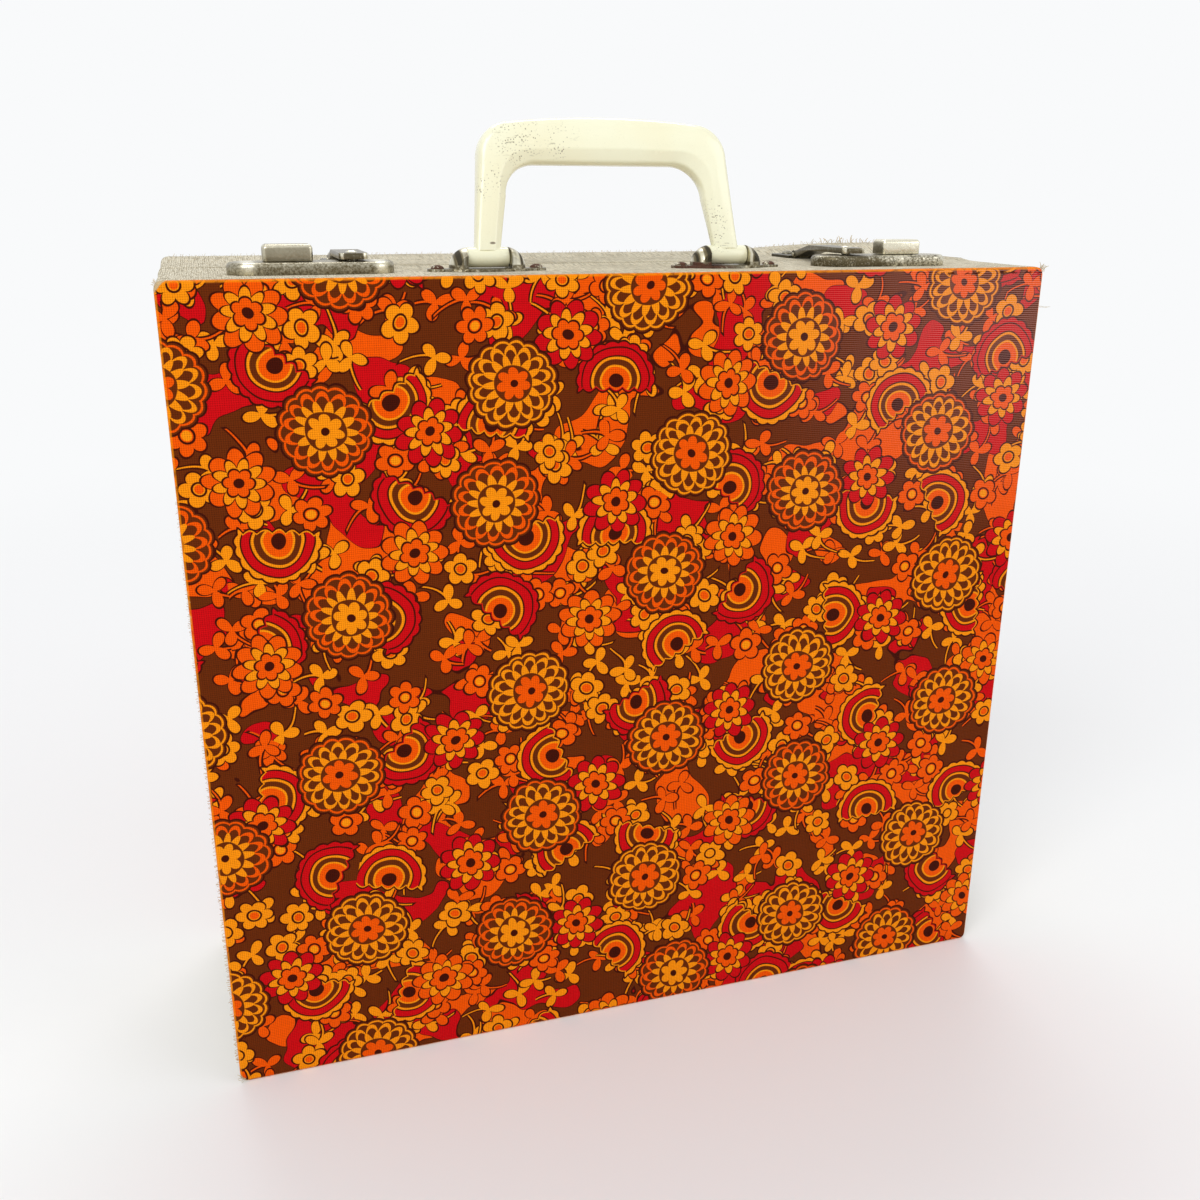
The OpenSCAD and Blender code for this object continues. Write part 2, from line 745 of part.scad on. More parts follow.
module left_lock_cover() at_lock(-1) lock_cover();
module right_lock_cover() at_lock(1) lock_cover();
module left_lock_plate() at_lock(-1) lock_plate();
module right_lock_plate() at_lock(1) lock_plate();
module left_bolt() at_lock(-1) lock_bolt();
module right_bolt() at_lock(1) lock_bolt();
module left_button() at_lock(-1) lock_button();
module right_button() at_lock(1) lock_button();
module left_return_spring() at_lock(-1) lock_spring();
module right_return_spring() at_lock(1) lock_spring();

// ---------------------------------------------------------------- hasps

// Plan of a hasp: square at its hinge, with rounded front corners
module hasp_plan(w, front, rear, r) {
    translate([-w / 2, front + r]) square([w, rear - front - r]);
    translate([-w / 2 + r, front]) square([w - 2 * r, 2 * r]);
    for (s = [-1, 1]) translate([s * (w / 2 - r), front + r]) circle(r);
}

// Pressed channel that rises from its knuckle and lies over the lock cover
module hasp() color(bright) {
    front = hasp_front;
    knuckle_z = hasp_axis_z;
    wide_rear = -hasp_clear;
    under = hasp_top - hasp_h;
    translate([0, hasp_axis_y, 0]) difference() {
        union() {
            intersection() {
                bar(hasp_w) polygon([
                    [front, under], [-hasp_rise, under], [wide_rear, knuckle_z - 0.9],
                    [wide_rear, knuckle_z + hasp_knuckle_r - 0.1], [-hasp_rise, hasp_top],
                    [front, hasp_top]
                ]);
                translate([0, 0, rear_h - 2]) linear_extrude(12) hasp_plan(hasp_w, front, wide_rear, 2.4);
            }
            bar(hasp_knuckle_w) union() {
                translate([0, knuckle_z]) circle(hasp_knuckle_r);
                polygon([
                    [wide_rear - 0.5, knuckle_z - 0.8], [0, knuckle_z - 1.2],
                    [0, knuckle_z + hasp_knuckle_r - 0.02],
                    [wide_rear - 0.5, knuckle_z + hasp_knuckle_r - 0.02]
                ]);
            }
        }
        // Underside of the channel
        translate([0, 0, under - 1]) linear_extrude(hasp_h - hasp_t + 1)
            hasp_plan(hasp_w - 2 * hasp_t, front + hasp_t, -hasp_rise - 1, 1.4);
        translate([0, 0, knuckle_z]) rod(hasp_pin_d + 2 * play, hasp_w);
        translate([0, hook_y - hasp_axis_y, under]) cylinder(d = hook_shank_d, h = 5);
    }
}

// Hook under the front of the hasp, with a collar, riveted through it with a domed head
module hasp_hook() color(bright) translate([0, hook_y, 0]) {
    under = hasp_top - hasp_t;
    translate([-hook_t / 2, -hook_w / 2, hook_floor]) cube([hook_t, hook_w, under - hook_floor]);
    translate([-hook_t / 2, -hook_w / 2, hook_floor]) cube([hook_t + hook_foot, hook_w, hook_foot_t]);
    translate([0, 0, lock_top + side_play]) cylinder(d = hook_collar_d, h = under - lock_top - side_play);
    translate([0, 0, under - eps]) cylinder(d = hook_shank_d, h = hasp_t + eps);
    translate([0, 0, hasp_top]) dome_head(dome_d, hook_head_h);
}

// Leaf on the rear half, with two knuckles beside the hasp's own
module hasp_base() color(steel) translate([0, hasp_axis_y, 0]) {
    ear = (hasp_w - hasp_knuckle_w) / 2 - side_play;
    base_w = hasp_w + 2.4;
    difference() {
        union() {
            for (s = [-1, 1]) translate([s * (hasp_w / 2 - ear / 2), 0, 0]) bar(ear) {
                translate([0, hasp_axis_z]) circle(hasp_knuckle_r);
                translate([0, rear_h]) square([hasp_knuckle_r + 1, hasp_base_t]);
            }
            translate([0, 0, rear_h]) linear_extrude(hasp_base_t) {
                translate([-base_w / 2, hasp_clear])
                    square([base_w, hasp_base_l - hasp_clear - hasp_base_r]);
                translate([-base_w / 2 + hasp_base_r, hasp_base_l - 2 * hasp_base_r])
                    square([base_w - 2 * hasp_base_r, 2 * hasp_base_r]);
                for (s = [-1, 1]) translate([s * (base_w / 2 - hasp_base_r), hasp_base_l - hasp_base_r])
                    circle(hasp_base_r);
            }
        }
        translate([0, 0, hasp_axis_z]) rod(hasp_pin_d, hasp_w + 2);
        translate([0, hasp_rivet_y - hasp_axis_y, rear_h - 1]) cylinder(d = rivet_d, h = 4);
    }
}

module hasp_pin() color(steel) translate([0, hasp_axis_y, hasp_axis_z]) rod(hasp_pin_d, hasp_w + 0.6);

module left_hasp() at_hasp(-1) hasp();
module right_hasp() at_hasp(1) hasp();
module left_hasp_hook() at_hasp(-1) hasp_hook();
module right_hasp_hook() at_hasp(1) hasp_hook();
module left_hasp_base() at_hasp(-1) hasp_base();
module right_hasp_base() at_hasp(1) hasp_base();
module left_hasp_pin() at_hasp(-1) hasp_pin();
module right_hasp_pin() at_hasp(1) hasp_pin();

// ---------------------------------------------------------------- case hinges

// Stretch of a leaf: next to its own knuckle it starts at the axis, elsewhere clear of the other's
module leaf_stretch(x0, x1, own) {
    translate([(x0 + x1) / 2, 0, 0]) bar(x1 - x0) {
        translate([own ? 0 : leaf_clear, -knuckle_r])
            square([leaf_reach - (own ? 0 : leaf_clear), leaf_t]);
        if (own) circle(knuckle_r);
    }
}

// A leaf towards +Y: the front leaf has the two outer knuckles and the rear leaf the middle one
module hinge_leaf(outer) color(steel) {
    third = hinge_l / 3;
    gap = side_play / 2;
    difference() {
        union() {
            leaf_stretch(-hinge_l / 2, hinge_l / 2, false);
            if (outer) {
                leaf_stretch(-hinge_l / 2, -third / 2 - gap, true);
                leaf_stretch(third / 2 + gap, hinge_l / 2, true);
            } else {
                leaf_stretch(-third / 2 + gap, third / 2 - gap, true);
            }
        }
        rod(hinge_pin_d + (outer ? 0 : 2 * play), hinge_l + 2);
        for (t = [-1, 1]) translate([t * leaf_rivet_x, leaf_rivet_y, -knuckle_r])
            cylinder(d1 = rivet_d + 2 * leaf_t, d2 = rivet_d, h = leaf_t);
    }
}

module left_hinge_front_leaf() at_hinge(-1) mirror([0, 1, 0]) hinge_leaf(true);
module right_hinge_front_leaf() at_hinge(1) mirror([0, 1, 0]) hinge_leaf(true);
module left_hinge_rear_leaf() at_hinge(-1) hinge_leaf(false);
module right_hinge_rear_leaf() at_hinge(1) hinge_leaf(false);
module hinge_pins() color(steel) for (s = [-1, 1]) at_hinge(s) rod(hinge_pin_d, hinge_l);

// ---------------------------------------------------------------- nodes

front_panel();
front_top_board();
front_bottom_board();
front_left_board();
front_right_board();
front_print_cloth();
front_rim_cloth();
front_lining();
rear_panel();
rear_top_board();
rear_bottom_board();
rear_left_board();
rear_right_board();
rear_print_cloth();
rear_rim_cloth();
rear_lining();
handle_grip();
left_handle_bracket();
right_handle_bracket();
handle_pins();
handle_bracket_rivets();
left_lock_plate();
right_lock_plate();
left_lock_cover();
right_lock_cover();
left_bolt();
right_bolt();
left_button();
right_button();
left_return_spring();
right_return_spring();
lock_studs();
left_hasp_base();
right_hasp_base();
left_hasp();
right_hasp();
left_hasp_hook();
right_hasp_hook();
left_hasp_pin();
right_hasp_pin();
hasp_base_rivets();
left_hinge_front_leaf();
right_hinge_front_leaf();
left_hinge_rear_leaf();
right_hinge_rear_leaf();
hinge_pins();
hinge_front_rivets();
hinge_rear_rivets();
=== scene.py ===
"""Looks of a record carrying case in printed cloth, laid out as a Blender add-on.

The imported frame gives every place. X runs across the case, Y from the printed front face to the
back, and Z up from the table. Sizes are in metres, with MM for millimetres, apart from the cloth
map of the printed and plain cloths, which their finishes read in millimetres.
"""
import json
import math
import random

import bmesh
import bpy
from bpy.props import FloatProperty, FloatVectorProperty, IntProperty, PointerProperty
from mathutils import Matrix, Vector, noise

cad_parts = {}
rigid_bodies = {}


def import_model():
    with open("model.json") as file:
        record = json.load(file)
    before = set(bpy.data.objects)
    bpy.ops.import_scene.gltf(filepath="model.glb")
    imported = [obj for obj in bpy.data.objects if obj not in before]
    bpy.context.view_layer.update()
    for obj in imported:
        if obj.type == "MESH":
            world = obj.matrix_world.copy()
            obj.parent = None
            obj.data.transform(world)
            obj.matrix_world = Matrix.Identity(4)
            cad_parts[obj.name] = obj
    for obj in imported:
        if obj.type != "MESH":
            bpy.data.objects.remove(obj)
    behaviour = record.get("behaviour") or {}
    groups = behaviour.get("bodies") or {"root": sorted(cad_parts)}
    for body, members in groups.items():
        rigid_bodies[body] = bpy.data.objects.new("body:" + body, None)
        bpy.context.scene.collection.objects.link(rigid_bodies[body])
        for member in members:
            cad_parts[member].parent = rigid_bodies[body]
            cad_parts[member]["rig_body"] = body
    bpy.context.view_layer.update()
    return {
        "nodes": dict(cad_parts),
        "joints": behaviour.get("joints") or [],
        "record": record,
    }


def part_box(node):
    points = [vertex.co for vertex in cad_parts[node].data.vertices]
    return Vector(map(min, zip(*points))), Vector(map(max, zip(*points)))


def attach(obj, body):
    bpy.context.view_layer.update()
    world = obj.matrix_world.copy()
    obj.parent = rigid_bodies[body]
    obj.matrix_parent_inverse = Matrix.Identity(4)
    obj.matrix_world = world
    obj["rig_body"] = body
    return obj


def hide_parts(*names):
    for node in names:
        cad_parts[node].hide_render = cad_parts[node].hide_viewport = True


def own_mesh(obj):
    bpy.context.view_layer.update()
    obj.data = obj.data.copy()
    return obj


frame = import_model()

bl_info = {
    "name": "Record Carrying Case",
    "version": (1, 0, 0),
    "blender": (4, 5, 0),
    "location": "View3D > Sidebar > Carrying Case",
    "description": "Dresses the packed frame of a cloth-covered record case",
    "category": "Object",
}

MM = 0.001
FRONT, REAR = "front_half", "rear_half"


def linear(r, g, b):
    """Shader colour of a display colour given in 0 to 255."""
    def one(v):
        v /= 255
        return v / 12.92 if v <= 0.04045 else ((v + 0.055) / 1.055) ** 2.4
    return (one(r), one(g), one(b), 1.0)


# ------------------------------------------------------------------ settings

def colour(name, about, rgb):
    return FloatVectorProperty(name=name, description=about, subtype="COLOR", size=3, min=0, max=1,
                               default=linear(*rgb)[:3])


def size(name, about, mm, low, high):
    return FloatProperty(name=name, description=about, default=mm * MM, min=low * MM, max=high * MM,
                         unit="LENGTH", precision=5)


def count(name, about, default, low, high):
    return IntProperty(name=name, description=about, default=default, min=low, max=high)


def angle(name, about, degrees):
    return FloatProperty(name=name, description=about, subtype="ANGLE", default=math.radians(degrees))


class PrintSettings(bpy.types.PropertyGroup):
    """Printed face cloth"""
    ground: colour("Ground", "Ground colour of the print", (100, 40, 6))
    outline: colour("Outline", "Colour of the printed outlines", (64, 15, 3))
    amber: colour("Amber", "Lightest print colour", (246, 142, 10))
    orange: colour("Orange", "Middle print colour", (238, 84, 0))
    red: colour("Red", "Deepest print colour", (200, 8, 16))
    # Painted sheen: a pinkish highlight laid on the thread crests towards the top right, not print that has
    # paled
    pale: colour("Pale", "Crests of the threads where the print has paled", (214, 166, 158))
    rubbed: colour("Rubbed", "Cloth where the print has rubbed off", (214, 178, 122))
    board: colour("Board", "Board that shows at the worn corners", (178, 164, 136))
    repeat: size("Repeat", "Distance between two large rosettes", 64, 40, 90)
    rosette: size("Rosette", "Radius of a large rosette", 17.5, 10, 24)
    line: size("Line", "Width of the printed outlines", 0.8, 0.4, 2)
    weave: size("Weave", "Distance between two threads of the cloth", 0.8, 0.4, 1.6)
    turned_edge: size("Turned edge", "Radius of the fold round the face", 1.6, 1, 2.6)
    corner: size("Corner", "Radius of the corners of the face", 3, 2, 8)
    thickness: size("Thickness", "Thickness of the cloth", 0.4, 0.3, 0.5)


class LinenSettings(bpy.types.PropertyGroup):
    """Plain rim cloth"""
    cloth: colour("Cloth", "Colour of the rim cloth", (234, 225, 200))
    grime: colour("Grime", "Colour of the rubbed dirt", (146, 134, 106))
    warm: colour("Warm", "Colour of the aged threads", (212, 184, 138))
    thread: size("Thread", "Distance between two threads of the cloth", 0.85, 0.4, 1.6)
    crown: size("Crown", "Rise of the rear edge, where the cloth stands off its board", 1.6, 0, 3)
    lip: size("Lip", "Rise of the front half's cloth at its mouth", 0.8, 0, 1.5)
    ruffle: size("Ruffle", "Rise of the loose stretch of the rear edge", 3.3, 0, 5)
    frays: count("Frays", "Loose thread ends along the rear rim, and as many on the left fold", 420, 0, 900)


class HandleSettings(bpy.types.PropertyGroup):
    """Moulded handle"""
    plastic: colour("Plastic", "Colour of the moulded plastic", (243, 241, 210))
    aged: colour("Aged", "Colour of the plastic where it has yellowed", (241, 235, 199))
    dirt: colour("Dirt", "Colour of the specks and scuffs", (104, 90, 64))
    gloss: FloatProperty(name="Roughness", description="Roughness of the clean plastic", default=0.2,
                         min=0.05, max=0.6)
    foot_span: size("Foot span", "Distance between the middles of the two feet", 100, 90, 130)
    foot_width: size("Foot width", "Width of a leg at its foot", 10.6, 9, 14)
    height: size("Height", "Top of the grip above the handle axis", 53.6, 46, 70)
    grip: size("Grip", "Thickness of the grip from its top to its underside", 18.2, 12, 20)
    depth: size("Depth", "Depth of the grip from front to back", 13, 11, 20)
    crown: size("Crown", "Rise of the middle of the grip over its corners", 2.2, 0, 5)
    draw: size("Draw", "How far a leg draws in between its foot and its corner", 3.6, 0, 5)
    outer_corner: size("Outer corner", "Outer radius of the top corners", 13.2, 12, 22)
    inner_corner: size("Inner corner", "Inner radius of the top corners", 13, 8, 16)
    barrel: size("Barrel", "Diameter of the cross barrels", 7.5, 7, 9)
    barrel_length: size("Barrel length", "Length of the cross barrels", 16.6, 14, 20)
    bore: size("Bore", "Diameter of the hole for the pins", 3.1, 2, 4.1)
    lean: angle("Lean", "Backward lean of the handle at rest", 15)


class MetalSettings(bpy.types.PropertyGroup):
    """Latches, brackets and hinges"""
    nickel: colour("Nickel", "Bright plating", (226, 220, 198))
    tarnish: colour("Tarnish", "Dulled plating", (108, 98, 74))
    # Also the colour of the painted dark reflection streaks on the bracket ears
    shade: colour("Shade", "Darkest streaks and pits of the plating", (40, 36, 26))
    rust: colour("Rust", "Rust that breaks through the plating", (106, 60, 40))
    shoulder: size("Shoulder", "Rounding of the pressed edge of the lock covers", 1.3, 0.4, 1.6)
    rivet_rise: size("Rivet rise", "Height of a rivet's domed head", 1.4, 0.8, 1.8)
    rivet_shank: size("Rivet shank", "Diameter of a rivet's shank", 2.8, 2, 3)
    spring_wire: size("Spring wire", "Diameter of the wire of the return springs", 0.4, 0.3, 0.5)
    throw: size("Throw", "How far a bolt presses its spring together", 5.1, 3, 6)
    spring_turns: count("Spring turns", "Turns of a return spring", 8, 5, 10)


class StageSettings(bpy.types.PropertyGroup):
    """Camera, floor and light"""
    place: FloatVectorProperty(name="Camera place", description="Where the camera stands", subtype="XYZ",
                               unit="LENGTH", size=3, default=(-0.1610, -0.5032, 0.3606))
    pitch: angle("Pitch", "Tilt of the camera below level", 18.745)
    yaw: angle("Yaw", "Turn of the camera towards the right", 17.695)
    roll: angle("Roll", "Roll of the camera", 0.295)
    lens: FloatProperty(name="Lens", description="Focal length on a 36 mm sensor", default=36.17, min=10,
                        max=200, subtype="DISTANCE_CAMERA")
    floor: colour("Floor", "Colour of the floor near the case", (240, 239, 238))
    backdrop: colour("Backdrop", "Colour of the floor further off and of all beyond it", (249, 250, 251))
    near: size("Near", "Distance at which the floor starts to pass into the backdrop", 350, 100, 1000)
    far: size("Far", "Distance at which the floor has become the backdrop", 1300, 500, 4000)


# ------------------------------------------------------------------ shader maths

class Term:
    """A socket of a finish's node tree, so that sums of sockets read as Python."""

    def __init__(self, finish, socket):
        self.finish, self.socket = finish, socket

    def out(self, name):
        return Term(self.finish, self.socket.node.outputs[name])

    def calc(self, operation, *others):
        return self.finish.calc(operation, self, *others)

    def __add__(self, other): return self.calc("ADD", other)
    def __radd__(self, other): return self.finish.calc("ADD", other, self)
    def __sub__(self, other): return self.calc("SUBTRACT", other)
    def __rsub__(self, other): return self.finish.calc("SUBTRACT", other, self)
    def __mul__(self, other): return self.calc("MULTIPLY", other)
    def __truediv__(self, other): return self.calc("DIVIDE", other)
    def __pow__(self, other): return self.calc("POWER", other)
    def __neg__(self): return self.calc("MULTIPLY", -1.0)
    def __abs__(self): return self.calc("ABSOLUTE")


class Graph:
    """A node tree that is built from terms."""

    def __init__(self, tree):
        self.tree = tree

    def node(self, kind, settings=None, values=None, out=0):
        made = self.tree.nodes.new(kind)
        for key, value in (settings or {}).items():
            if key == "stops":
                ramp = made.color_ramp.elements
                while len(ramp) < len(value):
                    ramp.new(0.5)
                for element, (at, rgba) in zip(ramp, value):
                    element.position, element.color = at, rgba
            else:
                setattr(made, key, value)
        for key, value in (values or {}).items():
            if isinstance(value, Term):
                self.tree.links.new(value.socket, made.inputs[key])
            elif value is not None:
                made.inputs[key].default_value = value
        return Term(self, made.outputs[out])

    def calc(self, operation, *terms, clamp=False):
        settings = {"operation": operation, "use_clamp": clamp}
        return self.node("ShaderNodeMath", settings, dict(enumerate(terms)))

    def vector(self, operation, *terms, out=0, **named):
        values = dict(enumerate(terms))
        values.update({k.capitalize(): v for k, v in named.items()})
        return self.node("ShaderNodeVectorMath", {"operation": operation}, values, out)

    def join(self, x, y, z=0.0):
        return self.node("ShaderNodeCombineXYZ", None, {0: x, 1: y, 2: z})

    def in_sight(self):
        """1 for the rays that show a surface: the camera's, a reflection's and those through a piece."""
        rays = self.node("ShaderNodeLightPath")
        return (rays + rays.out("Is Glossy Ray") + rays.out("Is Transmission Ray")).calc("MINIMUM", 1.0)


class Finish(Graph):
    """One material: its node tree, built from terms."""

    def __init__(self, name, **constants):
        self.material = bpy.data.materials.new(name)
        self.material.use_nodes = True
        super().__init__(self.material.node_tree)
        self.shader = self.tree.nodes["Principled BSDF"]
        for socket, value in constants.items():
            self.shader.inputs[socket.replace("_", " ")].default_value = value

    def split(self, vector):
        parts = self.node("ShaderNodeSeparateXYZ", None, {0: vector})
        return parts, parts.out("Y"), parts.out("Z")

    def noise(self, at, scale, detail=2.0, rough=0.5, bend=0.0):
        return self.node("ShaderNodeTexNoise", None, {"Vector": at, "Scale": scale, "Detail": detail,
                                                     "Roughness": rough, "Distortion": bend})

    def cells(self, at, scale, spread=1.0, flat=True):
        return self.node("ShaderNodeTexVoronoi", {"voronoi_dimensions": "2D" if flat else "3D"},
                         {"Vector": at, "Scale": scale, "Randomness": spread}, out="Distance")

    def ramp(self, value, low, high, to_low=0.0, to_high=1.0, soft=True):
        kind = "SMOOTHSTEP" if soft else "LINEAR"
        return self.node("ShaderNodeMapRange", {"interpolation_type": kind},
                         {0: value, 1: low, 2: high, 3: to_low, 4: to_high})

    def mix(self, share, a, b, how="MIX"):
        settings = {"data_type": "RGBA", "blend_type": how}
        return self.node("ShaderNodeMix", settings, {0: share, 6: a, 7: b}, out=2)

    def bump(self, height, depth, below=None):
        return self.node("ShaderNodeBump", None, {"Height": height, "Distance": depth, "Strength": 1.0,
                                                 "Normal": below})

    def set(self, **sockets):
        for name, value in sockets.items():
            socket = self.shader.inputs[name.replace("_", " ")]
            if isinstance(value, Term):
                self.tree.links.new(value.socket, socket)
            else:
                socket.default_value = value
        return self.material

    def place(self):
        return self.node("ShaderNodeTexCoord", out="Object")

    def cloth_place(self):
        """Place on the cut cloth, in millimetres, from the piece's own UV map."""
        uv = self.node("ShaderNodeUVMap", {"uv_map": "cloth"})
        return self.vector("SCALE", uv, scale=1000.0)


def rgba(settings_colour):
    return (*settings_colour, 1.0)


# ------------------------------------------------------------------ finishes

class Motifs:
    """Paints flat motifs over each other, each from an edge term that is negative inside it, in mm."""

    def __init__(self, finish, at, base, line_colour, line):
        self.f, self.at, self.colour, self.line_colour, self.line = finish, at, base, line_colour, line

    def scatter(self, pitch, spread, shift, half_drop=False):
        """Local place in the nearest motif, turned at random, and the motif's random number."""
        f = self.f
        p = f.vector("ADD", self.at, shift)
        if half_drop:
            x, y, _ = f.split(p)
            column = (x / pitch + (0.5 - spread / 2)).calc("FLOOR")
            p = f.join(x, y + column.calc("PINGPONG", 1.0) * (pitch / 2))
        near = f.cells(p, 1 / pitch, spread)
        local = f.vector("SUBTRACT", p, near.out("Position"))
        spin, luck, _ = f.split(near.out("Color"))
        turned = f.node("ShaderNodeVectorRotate", {"rotation_type": "Z_AXIS"},
                        {"Vector": local, "Angle": spin * 6.2832})
        x, y, _ = f.split(turned)
        return x, y, luck

    def polar(self, x, y):
        return (x * x + y * y).calc("SQRT"), y.calc("ARCTAN2", x)

    def petals(self, r, turn, count, reach, depth, power=0.7, phase=0.0):
        lobe = abs((turn * (count / 2) + phase).calc("COSINE")) ** power
        return r - (reach - depth) - lobe * depth

    def cover(self, edge, at=0.0, soft=0.22):
        """1 where the edge term is below a limit, with a soft border."""
        return self.f.calc("MULTIPLY_ADD", edge, -1 / soft, at / soft + 0.5, clamp=True)

    def paint(self, edge, colour, outlined=True):
        layers = [(self.line, self.line_colour)] if outlined else []
        for limit, tint in layers + [(0.0, colour)]:
            self.colour = self.f.mix(self.cover(edge, limit), self.colour, tint)

    def pick(self, luck, limit, a, b):
        """Colour a up to a limit of the motif's random number, and b above it."""
        return self.f.mix(luck.calc("GREATER_THAN", limit), a, b)


def flower_print(f, at, s):
    """Colour of a generic all-over print of flowers, sprigs and arches. Its sizes are in mm."""
    amber, orange, red, ground, outline = (rgba(c) for c in (s.amber, s.orange, s.red, s.ground, s.outline))
    m = Motifs(f, at, ground, outline, s.line / MM)

    # Flowing patches behind the flowers
    for shift, scale, limit, tint in (((31, 7, 0), 0.028, 0.575, orange), ((400, 90, 0), 0.033, 0.575, red)):
        field = f.noise(f.vector("ADD", at, shift), scale, 1.5, 0.45)
        m.paint((limit - field) * 130.0, tint)

    # Three-leaved sprigs with a bent stem
    for pitch, shift, chance in ((21, (3, 8, 0), 0.45), (24, (210, 60, 0), 0.7), (27, (77, 400, 0), 0.35)):
        x, y, luck = m.scatter(pitch, 0.85, shift)
        r, turn = m.polar(x, y)
        leaf = m.petals(r, turn, 3, 6.4, 5.4, 1.7)
        stem = (abs(x - y * y * 0.05 + 0.2) - 0.38).calc("MAXIMUM", abs(y + 6.0) - 5.0)
        m.paint(leaf.calc("MINIMUM", stem), m.pick(luck, chance, amber, orange))

    # Small blossoms
    for pitch, shift, count in ((31, (70, 33, 0), 5), (36, (11, 140, 0), 6)):
        x, y, luck = m.scatter(pitch, 0.85, shift)
        r, turn = m.polar(x, y)
        m.paint(m.petals(r, turn, count, 6.8, 2.6), m.pick(luck, 0.6, amber, orange))
        m.paint(abs(r - 2.5) - 0.4, outline, outlined=False)
        m.paint(r - 1.7, m.pick(luck, 0.5, orange, amber), outlined=False)

    # Arched rainbow shapes with a beaded rim, open at their foot
    x, y, luck = m.scatter(49, 0.6, (13, 21, 0))
    r, turn = m.polar(x, y + 3.0)
    foot = -y - 6.0 - abs((x * 0.62).calc("COSINE")) * 1.6
    bead = abs((turn * 9.0).calc("COSINE")) * 0.9
    m.paint((r - bead - 14.6).calc("MAXIMUM", foot), m.pick(luck, 0.5, amber, red))
    for reach, tint in ((13.6, outline), (13.0, red), (10.2, outline), (9.6, amber), (8.6, ground),
                        (6.4, amber), (5.6, orange), (3.0, outline)):
        m.paint((r - reach).calc("MAXIMUM", foot + 0.6), tint, outlined=False)

    # Many-petalled flowers, half dropped, and large rosettes between them
    pitch = s.repeat / MM
    x, y, luck = m.scatter(pitch, 0.34, (pitch * 0.5, pitch * 0.27, 0), half_drop=True)
    r, turn = m.polar(x, y)
    m.paint(m.petals(r, turn, 9, 12.8, 3.8, 0.8), m.pick(luck, 0.5, red, orange))
    m.paint(m.petals(r, turn, 9, 9.2, 3.6, 1.0, 1.5708), amber)
    m.paint(m.petals(r, turn, 6, 5.4, 1.6), orange)
    m.paint(r - 2.0, outline, outlined=False)

    x, y, luck = m.scatter(pitch, 0.34, (0, 0, 0), half_drop=True)
    r, turn = m.polar(x, y)
    big = s.rosette / MM
    scallop = m.petals(r, turn, 16, big, 1.3)
    m.paint(scallop, ground)
    m.paint(abs(scallop + 1.1) - 0.42, m.pick(luck, 0.3, amber, orange), outlined=False)
    m.paint(m.petals(r, turn, 14, big - 2.4, 4.6, 0.55), m.pick(luck, 0.5, amber, orange), outlined=False)
    m.paint(m.petals(r, turn, 14, big - 4.2, 3.2, 0.8), ground, outlined=False)
    m.paint(m.petals(r, turn, 14, big - 6.0, 4.2, 1.2, 1.5708), amber, outlined=False)
    m.paint(r - (big - 10.0), ground, outlined=False)
    m.paint(m.petals(r, turn, 7, big - 10.8, 2.6), m.pick(luck, 0.55, orange, amber), outlined=False)
    m.paint(r - 1.6, outline, outlined=False)
    return m.colour


